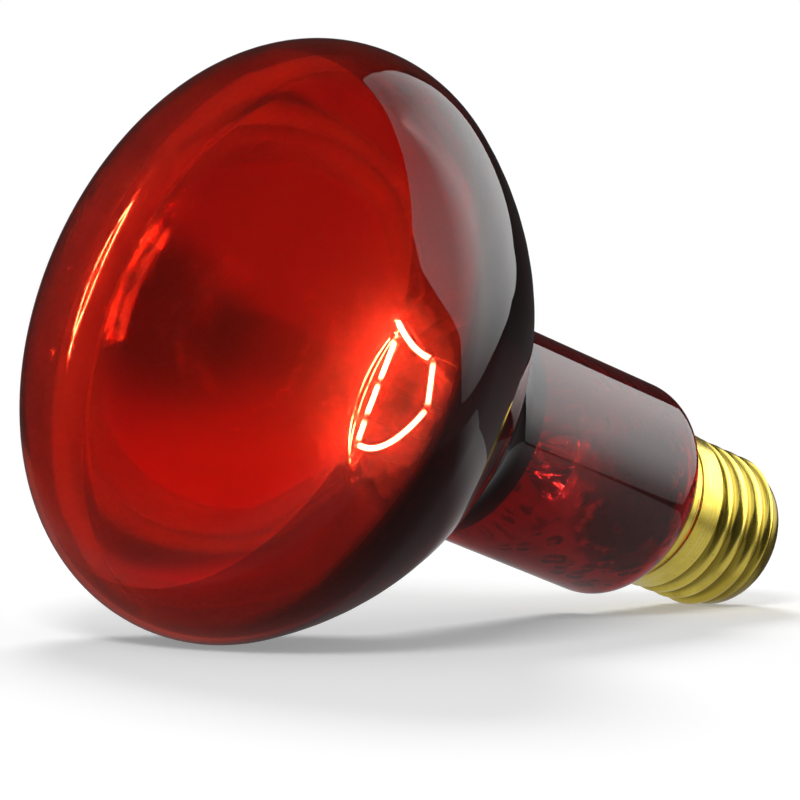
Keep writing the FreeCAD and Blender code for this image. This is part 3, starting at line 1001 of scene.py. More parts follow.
@dataclass(frozen=True)
class Bulb:
    """Blown bulb and the mirror film inside it."""

    head_radius: float = 47.5
    face_radius: float = 95.4
    rim_radius: float = 16.1
    shoulder_radius: float = 15.3
    shoulder_turn: float = 24.7
    back_radius: float = 60.0
    cone_angle: float = 48.6
    neck_fillet: float = 7.1
    neck_radius: float = 18.0
    neck_length: float = 36.3
    neck_end_radius: float = 5.5
    throat_radius: float = 11.0
    throat_fillet: float = 1.0
    throat_length: float = 12.0
    wall: float = 1.0
    film_thickness: float = 0.15
    film_play: float = 0.02
    film_turn: float = 45.0
    film_in_neck: float = 3.0
    # How finely the arcs of the face and of the rest are divided, in degrees.
    face_step: float = 1.5
    back_step: float = 3.0
    columns: int = 224

    def face_turn(self) -> float:
        """Angle of the face's arc from the axis to the rim, in degrees."""
        reach = (self.head_radius - self.rim_radius) / (self.face_radius - self.rim_radius)
        return math.degrees(math.asin(reach))

    def apex(self) -> float:
        """Height of the middle of the face."""
        reach = (self.face_radius - self.rim_radius) * math.cos(math.radians(self.face_turn()))
        return reach - self.face_radius

    def draw_back(self, pen: Pen, inset: float) -> None:
        """Draws the shoulder, the back, the straight cone and the fillet into the neck.

        Args:
            pen: the pen, at the widest circle.
            inset: how far inside the bulb's outer skin it draws.
        """
        turn, cone = math.cos(math.radians(self.shoulder_turn)), math.cos(math.radians(self.cone_angle))
        drop = self.shoulder_radius * (1 - turn) + self.back_radius * (turn - cone)
        drop = self.head_radius - self.neck_radius - drop - self.neck_fillet * (1 - cone)
        pen.arc(self.shoulder_radius - inset, self.shoulder_turn)
        pen.arc(self.back_radius - inset, self.cone_angle - self.shoulder_turn)
        pen.line(drop / math.sin(math.radians(self.cone_angle)), steps=4)
        pen.arc(-self.neck_fillet - inset, self.cone_angle)

    def glass_outline(self, inset: float) -> Array:
        """Outline of the glass, from the middle of the face to the throat's end.

        Args:
            inset: how far inside the bulb's outer skin it lies.

        Returns:
            Rows of u, r.
        """
        pen = Pen(self.apex() + inset, 0, heading=90, step=self.face_step)
        pen.arc(self.face_radius - inset, self.face_turn())
        pen.step = self.back_step
        pen.arc(self.rim_radius - inset, 90 - self.face_turn())
        self.draw_back(pen, inset)
        pen.line(self.neck_length, steps=12).arc(self.neck_end_radius - inset, 90)
        pen.line(self.neck_radius - self.neck_end_radius - self.throat_radius - self.throat_fillet)
        return pen.arc(-self.throat_fillet - inset, 90).line(self.throat_length).points()

    def film_outline(self, inset: float) -> Array:
        """Outline of the film, from the rim of the face into the mouth of the neck.

        Args:
            inset: how far inside the bulb's outer skin it lies.

        Returns:
            Rows of u, r.
        """
        turn, radius = math.radians(self.film_turn), self.rim_radius - inset
        pen = Pen(-radius * math.sin(turn), self.head_radius - self.rim_radius + radius * math.cos(turn),
                  heading=self.film_turn).arc(radius, self.film_turn)
        self.draw_back(pen, inset)
        return pen.line(self.film_in_neck).points()

    def build(self, maker: Maker) -> None:
        """Makes the glass and the film, each from an outer skin and an inner one that runs back.

        Args:
            maker: makes the pieces.
        """
        film = self.wall + self.film_play, self.wall + self.film_thickness
        for name, outline, insets, ends, finish, nodes in (
                ("ruby_bulb", self.glass_outline, (0, self.wall), Ends.POINTS, RubyGlass(),
                 ("bulb_head", "bulb_neck")),
                ("mirror_film", self.film_outline, film, Ends.LOOP, MirrorFilm(), ("reflector_film",))):
            outer, inner = (outline(inset) for inset in insets)
            grid = turned(np.concatenate([outer, inner[::-1]]), self.columns)
            skins = np.arange(len(grid) - (ends is Ends.POINTS)) >= len(outer) - 1
            maker.piece(name, grid, ends, finish, *nodes, skins=skins)


# ---------------------------------------------------------------- stem


@dataclass(frozen=True)
class Stem:
    """Glass stem: flared tube, pinch, pumping tube, arbor rod and button."""

    throat_end: float = 96.03
    seat_radius: float = 10.0
    tube_radius: float = 5.5
    tube_wall: float = 1.0
    tube_length: float = 24.0
    tube_columns: int = 96
    flare_radius: float = 4.0
    flare_angle: float = 60.0
    pinch_end: float = 65.97
    pinch_top: float = 54.97
    pinch_half_width: float = 5.5
    pinch_half_depth: float = 2.1
    pinch_taper: float = 4.0
    pinch_round: float = 1.0
    pinch_power: float = 3.2
    pinch_columns: int = 72
    # Rows of the pinch's rounded end and of its body, and where the body starts, in radii of the end.
    pinch_rows: tuple = (7, 26)
    pinch_body: float = 1.2
    pumping_radius: float = 2.0
    pumping_wall: float = 0.8
    pumping_overhang: float = 4.4
    rod_radius: float = 1.3
    rod_columns: int = 48
    button_radius: float = 2.3
    button_back: float = 45.97
    button_length: float = 3.0
    button_back_turn: float = 70.0
    # The small fillets of the rod at the button and at the pinch.
    fillet_start: float = 0.5
    fillet_end: float = 1.3
    fillet_height: float = 0.25
    weld_length: float = 0.8
    weld_height: float = 0.5
    weld_depth: float = 0.05

    def tube_outline(self) -> Array:
        """Flared tube: the outer skin out to its seat in the throat, and the bore back again.

        Returns:
            Rows of u, r.
        """
        skins = []
        for radius, bend in ((self.tube_radius, self.flare_radius),
                             (self.tube_radius - self.tube_wall, self.flare_radius + self.tube_wall)):
            pen = Pen(self.pinch_end, radius, step=6).line(self.tube_length, steps=8)
            pen.arc(-bend, self.flare_angle)
            skins.append(pen.line((self.seat_radius - pen.at[1]) / math.sin(math.radians(self.flare_angle))))
        return np.concatenate([skins[0].points(), skins[1].points()[::-1]])

    def pump_outline(self) -> Array:
        """Pumping tube: its bore back from the tip, then its outside out to the tip.

        Returns:
            Rows of u, r.
        """
        straight = self.throat_end + self.pumping_overhang - self.pumping_radius - self.pinch_end
        bore, outside = (Pen(self.pinch_end, radius, step=10).line(straight, steps=6).arc(radius, 90).points()
                         for radius in (self.pumping_radius - self.pumping_wall, self.pumping_radius))
        return np.concatenate([bore[::-1], outside])

    def arbor_outline(self) -> Array:
        """Arbor: the rounded button, and the rod with a fillet at the button and at the pinch.

        Returns:
            Rows of u, r.
        """
        bead, rod, weld = self.button_length / 3, self.rod_radius, self.pinch_top + self.weld_depth
        pen = Pen(self.button_back - self.button_length, 0, heading=90, step=10)
        pen.line(self.button_radius - bead, steps=2)
        pen.arc(bead, 90).line(bead).arc(bead, self.button_back_turn)
        pen.to(self.button_back + self.fillet_start, rod + self.fillet_height)
        pen.to(self.button_back + self.fillet_end, rod).to(self.pinch_top - self.weld_length, rod, steps=6)
        return pen.to(weld, rod + self.weld_height).to(weld, 0).points()

    def pinch_grid(self) -> Array:
        """Pinch: a superellipse whose depth falls from the tube's radius to the flat.

        Depth and the exponent of each cross-section blend by a smooth step along the taper, and its front
        end draws in along a quarter circle.

        Returns:
            Grid of x, y, u whose first and last rows are single points.
        """
        first, rest = self.pinch_rows
        end = self.pinch_round * (1 - np.cos(np.linspace(0, math.pi / 2, first)))
        body = np.linspace(self.pinch_body * self.pinch_round, self.pinch_end - self.pinch_top, rest)
        way = np.concatenate([end, body])
        u = self.pinch_top + way
        share = smooth((u - self.pinch_end + self.pinch_taper) / self.pinch_taper)
        depth = self.pinch_half_depth + (self.tube_radius - self.pinch_half_depth) * share
        power = 2 / (self.pinch_power + (2 - self.pinch_power) * share)
        drawn = self.pinch_round * (1 - np.sqrt(1 - np.clip(1 - way / self.pinch_round, 0, 1) ** 2))
        shape = np.stack([np.cos(around(self.pinch_columns)), np.sin(around(self.pinch_columns))])
        size = np.abs(shape)[:, None] ** power[None, :, None] * np.sign(shape)[:, None]
        x = size[0] * (depth - drawn)[:, None]
        y = size[1] * (self.pinch_half_width - drawn)[:, None]
        grid = np.stack([x, y, np.broadcast_to(u[:, None], x.shape)], -1)
        return np.concatenate([grid[:1] * AXIAL, grid[1:], grid[-1:] * AXIAL])

    def build(self, maker: Maker) -> None:
        """Makes the glass pieces of the stem.

        Args:
            maker: makes the pieces.
        """
        for name, grid, ends, nodes in (
                ("stem_tube", turned(self.tube_outline(), self.tube_columns), Ends.LOOP, ("stem_flare",)),
                ("stem_pinch", self.pinch_grid(), Ends.POINTS, ("stem_press",)),
                ("pumping_tube", turned(self.pump_outline(), self.rod_columns), Ends.POINTS,
                 ("exhaust_tube",)),
                ("arbor", turned(self.arbor_outline(), self.rod_columns), Ends.POINTS,
                 ("arbor_rod", "arbor_button"))):
            maker.piece(name, grid, ends, StemGlass(), *nodes)


# ---------------------------------------------------------------- filament and wires


@dataclass(frozen=True)
class FilamentMount:
    """Coiled filament, its hooked supports, clamps and leads. A station is a distance to the side and up."""

    filament_u: float = 29.47
    support_u: float = 44.47
    start: tuple = (-5.2, 12.6)
    hooks: tuple = ((6.1, 6.2), (7.6, -1.7), (-7.1, -7.9), (-6.7, -3.5), (-5.7, 2.4))
    end: tuple = (-4.3, 9.6)
    first_sag: float = 1.1
    long_sag: float = 2.9
    sag_steps: int = 14
    coil_radius: float = 0.45
    coil_wire: float = 0.10
    coil_sides: int = 5
    coil_pitch: float = 0.28
    coil_steps: int = 14
    coil_ease: float = 0.5
    path_step: float = 0.05
    cold_reach: float = 0.25
    warming: float = 0.8
    support_radius: float = 0.2
    support_start: float = 1.1
    support_ease: float = 0.55
    support_sides: int = 12
    hook_play: float = 0.05
    clamp_radius: float = 0.7
    clamp_length: float = 2.2
    clamp_body: tuple = (0.2, 0.8)
    clamp_rows: int = 5
    lead_radius: float = 0.4
    lead_spread: float = 3.2
    lead_foot: float = 57.97
    lead_bend: float = 53.47
    lead_stub: float = 1.5
    wire_ease: float = 1.2
    wire_sides: int = 14
    seal_radius: float = 0.25
    seal_middle: float = 60.0
    seal_end: float = 63.47
    molybdenum: DrawnWire = DrawnWire("molybdenum", "molybdenum", (0.42, 0.40, 0.39), (0.22, 0.21, 0.21),
                                      0.32)
    nickel: DrawnWire = DrawnWire("nickel_lead", "nickel", (0.66, 0.61, 0.54), (0.4, 0.37, 0.33), 0.26)
    copper: DrawnWire = DrawnWire("copper_lead", "copper_wire", (0.86, 0.47, 0.30), (0.42, 0.2, 0.12), 0.3)

    def stations(self) -> tuple:
        """Every station that holds the coil, in order."""
        return self.start, *self.hooks, self.end

    def spots(self, stations: Array | list | tuple, u: float | list | Array) -> Array:
        """Places (-up, -side, u) of stations at one height, or each at its own."""
        side, up = np.array(stations, float).T
        return np.stack([-up, -side, u + 0 * side], 1)

    def hang(self, start: Array, end: Array, sag: float) -> Array:
        """Stations between two others, on a parabola whose middle hangs below the line by the sag."""
        t = np.linspace(0, 1, self.sag_steps)[1:-1, None]
        return (1 - t) * start + t * end - 4 * sag * t * (1 - t) * (0, 1)

    def coil_path(self) -> Array:
        """Middle line of the coil over its hooks, with its corners eased.

        Returns:
            Rows of x, y, u.
        """
        start, first, second, third, *rest = np.array(self.stations())
        rows = [start, *self.hang(start, first, self.first_sag), first, second,
                *self.hang(second, third, self.long_sag), third, *rest]
        return evenly(eased(self.spots(rows, self.filament_u), self.coil_ease, steps=4), self.path_step)[0]

    def coil(self, maker: Maker) -> None:
        """Makes the coil: a wire wound round its middle line, place = path + radius (cos t, sin t).

        Its heat rises as a square from each place that holds it.

        Args:
            maker: makes the piece.
        """
        path, way = evenly(self.coil_path(), self.coil_pitch / self.coil_steps)
        turn = way[:, None] / self.coil_pitch * 2 * math.pi
        spoke = np.cos(turn) * AXIAL + np.sin(turn) * np.cross(tangents(path), AXIAL)
        wire = path + (self.coil_radius - self.coil_wire) * spoke
        grid = swept(wire, self.coil_wire, self.coil_sides, spoke)
        held = self.spots(self.stations(), self.filament_u)
        near = np.min(np.linalg.norm(path[:, None] - held[None], axis=2), axis=1)
        heat = with_ends(np.clip((near - self.cold_reach) / self.warming, 0, 1) ** 2)
        piece = maker.piece("filament_coil", grid, Ends.POINTS, GlowingTungsten(), "filament",
                            fields={"coil_heat": np.repeat(heat[:, None], self.coil_sides, 1)})
        piece.data.materials[0].cycles.emission_sampling = "FRONT"
        piece.visible_diffuse = piece.visible_shadow = False

    def support(self, before: tuple, station: tuple, after: tuple) -> Array:
        """Wire from the button out, forward, over the outside of the coil and a short way back.

        Args:
            before: the station before its own.
            station: its station.
            after: the station after it.

        Returns:
            Grid of x, y, u.
        """
        run = np.subtract(after, before)
        square = unit(np.array([run[1], -run[0]]))
        clear = self.coil_radius + self.support_radius + self.hook_play
        across = square * math.copysign(clear, square @ station)
        outside, inside, front = station + across, station - across, self.filament_u - clear
        corners = self.spots([unit(outside) * self.support_start, outside, outside, inside, inside],
                             [self.support_u, self.support_u, front, front, front + clear])
        return swept(eased(corners, self.support_ease, steps=7), self.support_radius, self.support_sides)

    def wire(self, corners: list, radius: float) -> Array:
        """A round wire along corners given as (side, up, u)."""
        places = self.spots([corner[:2] for corner in corners], np.array([u for *_, u in corners]))
        return swept(eased(places, self.wire_ease, steps=8), radius, self.wire_sides)

    def build(self, maker: Maker) -> None:
        """Makes the coil and all its wires, and dresses the outer leads.

        Args:
            maker: makes the pieces.
        """
        self.coil(maker)
        stations = self.stations()
        for number, three in enumerate(zip(stations, stations[1:], stations[2:]), 1):
            maker.piece(f"hooked_wire_{number}", self.support(*three), Ends.POINTS, self.molybdenum,
                        f"support_wire_{number}")
        front = self.filament_u - self.clamp_length / 2
        body = front + self.clamp_length * np.linspace(*self.clamp_body, self.clamp_rows)
        clamps = [self.wire([(*station, u) for u in body], self.clamp_radius)
                  for station in (self.start, self.end)]
        maker.piece("coil_clamps", clamps, Ends.POINTS, self.nickel, "lead_clamps")
        top = front + self.clamp_length
        for name, out, station in (("upper", -self.lead_spread, self.start),
                                   ("lower", self.lead_spread, self.end)):
            corners = [(out, 0, self.lead_foot), (out, 0, self.lead_bend), (*station, top + self.lead_stub),
                       (*station, top)]
            maker.piece(f"nickel_lead_{name}", self.wire(corners, self.lead_radius), Ends.POINTS, self.nickel,
                        f"inner_lead_{name}")
        seals = [self.wire([(out, 0, u) for u in (self.lead_foot, self.seal_middle, self.seal_end)],
                           self.seal_radius) for out in (-self.lead_spread, self.lead_spread)]
        maker.piece("dumet_seals", seals, Ends.POINTS, self.copper, "seal_wires")
        maker.dress("outer_lead_centre", self.copper)
        maker.dress("outer_lead_side", self.copper)
        maker.dress("fuse_bead", StemGlass())


# ---------------------------------------------------------------- screw cap


@dataclass(frozen=True)
class ScrewCap:
    """Brass Edison screw cap with its cement, insulator, contact and solder."""

    rim: float = 83.53
    shelf: float = 83.03
    seam: float = 85.93
    seam_width: float = 0.25
    seam_depth: float = 0.3
    land: float = 86.43
    land_end: float = 91.03
    core: float = 91.63
    core_end: float = 104.93
    end_radius: float = 3.5
    sheet: float = 0.35
    rolled_edge: float = 0.08
    collar_radius: float = 13.0
    land_radius: float = 13.25
    crest_radius: float = 13.15
    root_radius: float = 12.1
    pitch: float = 3.629
    rounding: float = 1.025
    lead_in: float = 0.25
    run_in: float = 0.5
    fade: float = 1.5
    row_step: float = 0.11
    fine_rows: int = 2400
    softening: int = 20
    columns: int = 224
    cement_bore: float = 11.03
    cement_outside: float = 11.7
    cement_length: float = 13.0
    cement_mouth: float = 12.0
    cement_chamfer: float = 1.0
    cement_sunk: float = 0.12
    cement_gaps: tuple = (0.5, 0.36)
    cement_proud: float = 0.06
    cement_edge: float = 0.05
    # Heights of the cement's broad and narrow lumps, and how many of each stand round the rim.
    cement_lumps: tuple = (0.05, 0.03)
    cement_waves: tuple = (13, 31)
    cement_skin: float = 0.6
    cement_columns: int = 160
    # The insulator: its plug in the shell, the bead at the shell's mouth, its shoulder and its nose.
    plug_height: float = 4.5
    mouth_bead: tuple = ((-0.1, 0.0), (0.35, -0.15))
    shoulder_height: float = 1.0
    insulator_columns: int = 128
    insulator_end: float = 110.63
    shoulder_radius: float = 7.1
    nose_radius: float = 5.5
    nose_edge: float = 0.35
    contact_end: float = 111.13
    contact_radius: float = 4.8
    contact_columns: int = 96
    contact_edge: float = 0.1
    ridge_radius: float = 3.9
    ridge_height: float = 0.08
    dish_radius: float = 3.2
    eyelet_radius: float = 1.5
    eyelet_bore: float = 1.15
    eyelet_depth: float = 3.0
    # The solder on the contact: its middle from the contact's, its half sizes and how deep it sinks in.
    solder_shift: tuple = (0.1, 0.05, -0.1)
    solder_height: float = 1.0
    solder_radius: float = 2.4
    solder_oval: float = 0.94
    solder_sunk: float = 0.08
    # The solder at the rim: its width, how far out and up its middle moves, and its half sizes.
    side_solder: float = 1.4
    side_shift: tuple = (0.25, 0.1)
    side_sizes: tuple = (1.45, 0.95, 1.3)
    bead_ripples: tuple = (0.06, 0.04)
    bead_waves: tuple = (3, 5)
    bead_rows: int = 22
    bead_columns: int = 36

    def thread_table(self) -> Array:
        """Half a thread from crest to root: an arc, a straight flank and the reverse arc.

        Returns:
            Rows of u, r.
        """
        half, depth = self.pitch / 2, self.crest_radius - self.root_radius
        overlap = 2 * self.rounding - depth
        spacing = math.hypot(half, overlap)
        flank = math.sqrt(spacing ** 2 - 4 * self.rounding ** 2)
        slope = math.degrees(math.asin(2 * self.rounding / spacing) - math.atan2(overlap, half))
        pen = Pen(0, self.crest_radius, step=2).arc(self.rounding, slope).line(flank, steps=3)
        return pen.arc(-self.rounding, slope).points()

    def sheet_outline(self) -> Array:
        """The shell's outline without its thread.

        Straight lines between its corners are softened by a bell-shaped window into the small rolled
        corners of thin sheet.

        Returns:
            Rows of u, r.
        """
        corners = ((self.rim, self.collar_radius), (self.seam, self.collar_radius),
                   (self.seam + self.seam_width, self.collar_radius - self.seam_depth),
                   (self.land, self.land_radius), (self.land_end, self.land_radius),
                   (self.core, self.root_radius), (self.core_end, self.root_radius))
        fine = np.linspace(self.rim - 1, self.core_end, self.fine_rows)
        window = np.hanning(2 * self.softening + 1)
        soft = np.pad(np.interp(fine, *zip(*corners)), self.softening, "edge")
        u = np.arange(self.rim, self.core_end, self.row_step)
        return np.stack([u, np.interp(u, fine, np.convolve(soft, window / window.sum(), "valid"))], 1)

    def shell_grid(self) -> Array:
        """The shell: r is the sheet's outline plus the thread, whose phase is u less pitch times the turn.

        The thread fades in and out by smooth steps at both ends of the core. The outer skin runs on round
        the shell's end, and a plain inner skin runs back one sheet further in.

        Returns:
            Grid of x, y, u whose rows close in a loop.
        """
        outline, table = self.sheet_outline(), self.thread_table()
        grid, u = turned(outline, self.columns), outline[:, 0:1]
        start = self.land_end - self.lead_in + self.pitch * around(self.columns) / (2 * math.pi)
        phase = np.abs((u - start + self.pitch / 2) % self.pitch - self.pitch / 2)
        inward = smooth(np.minimum(u - self.core + self.run_in, self.core_end - u) / self.fade)
        lift = (np.interp(phase, table[:, 0], table[:, 1]) - self.root_radius) * inward
        grid[..., :2] *= (1 + np.maximum(lift, 0) / outline[:, 1:2])[..., None]
        end = Pen(self.core_end, self.root_radius, step=9).arc(self.end_radius, 90).points()
        inner = self.root_radius - self.sheet
        back = Pen(self.core_end, inner, step=18).arc(self.end_radius - self.sheet, 90).points()[::-1]
        bore = [(self.core, inner), (self.land_end, self.land_radius - self.sheet),
                (self.land, self.land_radius - self.sheet), (self.rim, self.collar_radius - self.sheet),
                (self.rim - self.rolled_edge, self.collar_radius - self.sheet / 2)]
        return np.concatenate([grid, turned(np.concatenate([end, back, bore]), self.columns)])

    def cement_grid(self) -> Array:
        """Cement between throat and shell, with low lumps on its face round the rim.

        The face moves by how proud it stands less two sines of the angle, times a bell of the depth.

        Returns:
            Grid of x, y, u whose rows close in a loop.
        """
        back, face = self.shelf + self.cement_length, self.shelf + self.cement_sunk
        (gap, rim_gap), (wide, narrow), (few, many) = self.cement_gaps, self.cement_lumps, self.cement_waves
        pen = Pen(back, self.cement_bore).to(self.shelf + self.cement_chamfer, self.cement_bore, steps=4)
        pen.to(face, self.cement_mouth, steps=3).to(face, self.collar_radius - gap, steps=3)
        pen.to(self.rim + self.cement_edge, self.collar_radius - rim_gap, steps=3)
        pen.to(back, self.cement_outside, steps=6)
        grid = turned(pen.points(), self.cement_columns)
        angle = around(self.cement_columns)
        lump = wide * np.sin(few * angle + 1) + narrow * np.sin(many * angle)
        depth = (grid[..., 2] - self.shelf) / self.cement_skin
        grid[..., 2] += (self.cement_proud - lump) * np.exp(-depth ** 2)
        return grid

    def insulator_outline(self) -> Array:
        """Insulator: its back, the fit in the shell's closed-in end, and the cone down to the contact.

        Returns:
            Rows of u, r.
        """
        end, inside = self.core_end + self.end_radius, self.root_radius - self.sheet
        mouth = self.root_radius - self.end_radius
        (bead_u, bead_r), (edge_u, edge_r) = self.mouth_bead
        pen = Pen(end - self.plug_height, self.eyelet_radius, heading=90, step=12)
        pen.to(end - self.plug_height, inside, steps=4)
        pen.to(self.core_end, inside, steps=3)
        pen.heading = 0
        pen.arc(self.end_radius - self.sheet, 90).to(end + bead_u, mouth + bead_r, steps=2)
        pen.to(end + edge_u, mouth + edge_r).to(end + self.shoulder_height, self.shoulder_radius, steps=3)
        pen.to(self.insulator_end - self.nose_edge, self.nose_radius, steps=3)
        pen.to(self.insulator_end, self.nose_radius - self.nose_edge)
        return pen.to(self.insulator_end, self.eyelet_radius, steps=4).points()

    def contact_outline(self) -> Array:
        """Contact: the eyelet's tube, and a plate with a rounded edge, a low ridge and a dish.

        Returns:
            Rows of u, r.
        """
        edge, foot = (self.contact_end - self.insulator_end) / 2, self.insulator_end - self.eyelet_depth
        pen = Pen(foot, self.eyelet_bore, heading=90, step=15).to(foot, self.eyelet_radius)
        pen.to(self.insulator_end, self.eyelet_radius, steps=3)
        pen.to(self.insulator_end, self.contact_radius - self.contact_edge, steps=4)
        pen.to(self.insulator_end + edge, self.contact_radius)
        pen.heading = 0
        pen.arc(edge, 90).to(self.contact_end + self.ridge_height, self.ridge_radius, steps=2)
        pen.to(self.contact_end, self.dish_radius, steps=2).to(self.contact_end, self.eyelet_bore)
        return pen.points()

    def bead_grid(self, centre: tuple, sizes: tuple) -> Array:
        """A lumpy bead: an ellipsoid whose radius ripples with latitude and longitude.

        Args:
            centre: its middle, as x, y, u.
            sizes: its three half sizes.

        Returns:
            Grid of x, y, u whose first and last rows are single points.
        """
        rise = np.linspace(-math.pi / 2, math.pi / 2, self.bead_rows)[:, None]
        turn = around(self.bead_columns)[None]
        (broad, fine), (few, many) = self.bead_ripples, self.bead_waves
        ripple = broad * np.sin(few * turn + 1) + fine * np.sin(many * turn - 2 * rise)
        shape = np.stack([np.cos(rise) * np.cos(turn), np.cos(rise) * np.sin(turn),
                          np.sin(rise) + 0 * turn], -1)
        return centre + sizes * shape * (1 + ripple * np.cos(rise))[..., None]

    def build(self, maker: Maker) -> None:
        """Makes the pieces of the cap.

        Args:
            maker: makes the pieces.
        """
        (x, y, u), (out, up) = self.solder_shift, self.side_shift
        drop = self.bead_grid((x, y, self.contact_end + u),
                              (self.solder_radius, self.solder_radius * self.solder_oval,
                               self.solder_height + self.solder_sunk))
        side = self.bead_grid((0, self.collar_radius + out, self.rim + self.side_solder / 2 + up),
                              self.side_sizes)
        insulator = turned(self.insulator_outline(), self.insulator_columns)
        contact = turned(self.contact_outline(), self.contact_columns)
        for name, grid, ends, finish, node in (
                ("brass_shell", self.shell_grid(), Ends.LOOP, RolledBrass(), "screw_shell"),
                ("cement_collar", self.cement_grid(), Ends.LOOP, BasingCement(), "cement_ring"),
                ("black_insulator", insulator, Ends.LOOP, BlackGlass(), "insulator"),
                ("contact_plate", contact, Ends.LOOP, RolledBrass(), "contact_eyelet"),
                ("contact_solder_drop", drop, Ends.POINTS, TinSolder(), "contact_solder"),
                ("rim_solder_bead", side, Ends.POINTS, TinSolder(), "side_solder")):
            maker.piece(name, grid, ends, finish, node)


# ---------------------------------------------------------------- studio


@dataclass(frozen=True)
class Studio:
    """Table, white surroundings, soft panel, lamps and camera, in metres."""

    camera: tuple = (-0.56046, -0.54532, 0.05239)
    forward: tuple = (0.67191, 0.73948, -0.04135)
    lens: float = 213.19
    sensor: float = 36.0
    clip: tuple = (0.05, 50.0)
    highlight_limit: float = 60.0
    # Two directions along the table: away from the camera, and the side that stays dark.
    ahead: tuple = (0.672, 0.740, 0.0)
    dark_way: tuple = (-0.5, -0.866, 0.0)
    table_low: tuple = (-0.125, -0.085)
    table_high: tuple = (0.012, 0.085)
    reach: float = 6.0
    paper: Colour = (0.86, 0.86, 0.86)
    fibre: Colour = (0.9, 0.9, 0.9)
    fibres: Pattern = Pattern(900, 3)
    shade_middle: tuple = (-0.05, 0.0, -0.014)
    shade_reach: tuple = (0.22, 0.34)
    lift: float = 0.27
    # Levels of the table through glass (least, more in the light) and in reflections (left, more at right).
    through_levels: tuple = (0.02, 0.48)
    mirror_levels: tuple = (0.09, 0.38)
    ahead_shade: float = 0.85
    # Where the table's shade through glass begins and is whole, by direction and by distance, on its dark
    # side and ahead; and where its paler right part begins.
    aside_edges: tuple = ((0.82, 0.99), (-0.03, 0.18))
    ahead_edges: tuple = ((-0.1, 0.3), (0.25, 0.65))
    right_edge: tuple = (-0.05, 0.0)
    # Levels of the surroundings through glass (ahead, base, room, overhead), in reflections (all, more
    # below) and as light on matt things.
    world_levels: tuple = (0.11, -0.08, 0.55, 0.4)
    world_mirror_levels: tuple = (0.03, 0.12)
    world_matt_level: float = 0.28
    # Where the surroundings turn: away from the dark side, upwards, away from ahead, and downwards.
    room_edge: tuple = (0.985, 0.72)
    high_edge: tuple = (0.5, 0.95)
    beside_edge: tuple = (0.3, -0.1)
    below_edge: tuple = (0.05, -0.35)
    # Soft lamps by name, with place and energy; small balls of the coil's glow, by side and up.
    lamps: tuple = (("light_behind", (0.63, 0.97, 0.92), 12.5), ("light_front", (-0.75, -0.5, 0.9), 5.5))
    lamp_size: float = 0.45
    lamp_target: tuple = (-0.04, -0.01, 0.0)
    glow_stations: tuple = ((-2, 7), (7, 2), (0, -6), (-6, 0))
    glow_u: float = 29.5
    glow_size: float = 0.002
    glow_energy: float = 0.006
    glow_colour: Colour = (1.0, 0.8, 0.6)
    panel_middle: tuple = (-0.06, -0.03, 0.03)
    panel_distance: float = 0.6
    panel_glow: float = 4.4
    panel_rings: int = 28
    panel_spokes: int = 160
    # Corners of the light panel as (azimuth from -Y towards +X, elevation) in degrees, and its brightness
    # by azimuth and by elevation.
    panel_corners: tuple = (
        (168, 69), (149, 65), (137, 60), (128, 50), (122, 42), (119, 34), (114, 28), (109, 23), (107, 18),
        (107, 10), (105, 5), (100, 2), (90, -1), (79, -3), (66, -7), (54, -13), (45, -17), (37, -19),
        (29, -12), (21, -2), (17, 5), (9, 12), (-7, 23), (-19, 31), (-31, 38), (-36, 43), (-44, 50),
        (-46, 59), (-50, 68), (-58, 75), (-75, 80), (-147, 83), (178, 76))
    panel_by_turn: tuple = ((-20, 0.33), (8, 0.35), (18, 0.5), (42, 1), (65, 0.82), (90, 0.65), (110, 0.42),
                            (150, 0.26))
    panel_by_rise: tuple = ((-20, 0.1), (-10, 0.23), (0, 0.5), (10, 0.78), (25, 1.0), (40, 1.05), (60, 0.85),
                            (75, 0.6))

    def table_shader(self, graph: Graph) -> Socket:
        """Matt white paper, which glows a little to the camera, and is plain white beyond the shadow.

        Through glass it darkens on its dark side and far ahead; in reflections it is paler at the right.

        Args:
            graph: the material's graph.

        Returns:
            The shader.
        """
        seen, glossy, through = graph.rays()
        colour = graph.blend(self.paper, self.fibre, graph.noise(self.fibres))
        paper = graph.add("ShaderNodeBsdfDiffuse", None, {"Color": colour})
        near = graph.add("ShaderNodeAddShader", None, {0: paper, 1: graph.glow(seen * self.lift)})
        offset = graph.vector("SUBTRACT", graph.place, self.shade_middle)
        distance, way = graph.vector("LENGTH", offset), graph.vector("NORMALIZE", offset)
        table = graph.mixed(near, graph.glow(1.0), seen * distance.rising(*self.shade_reach))
        aside, ahead = (graph.vector("DOT_PRODUCT", way, towards).rising(*turn) * distance.rising(*far)
                        for towards, (turn, far) in ((self.dark_way, self.aside_edges),
                                                     (self.ahead, self.ahead_edges)))
        shade = aside + ahead * self.ahead_shade
        right = graph.part(graph.place, 0).rising(*self.right_edge)
        (dark, light), (left, more) = self.through_levels, self.mirror_levels
        level = through * ((1 - shade) * light + dark) + (1 - through) * (right * more + left)
        return graph.mixed(table, graph.glow(level), glossy + through - glossy * through)

    def staged(self, name: str, places: list, faces: list, coat: bpy.types.Material,
               fields: dict[str, Array] | None = None) -> bpy.types.Object:
        """Makes a mesh that isn't part of the lamp.

        Args:
            name: its name.
            places: rows of x, y, z.
            faces: the places of each face.
            coat: its material.
            fields: named values by place.

        Returns:
            The new object.
        """
        piece = placed(name, new_mesh(name, places, faces, [coat], fields or {}))
        piece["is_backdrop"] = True
        return piece

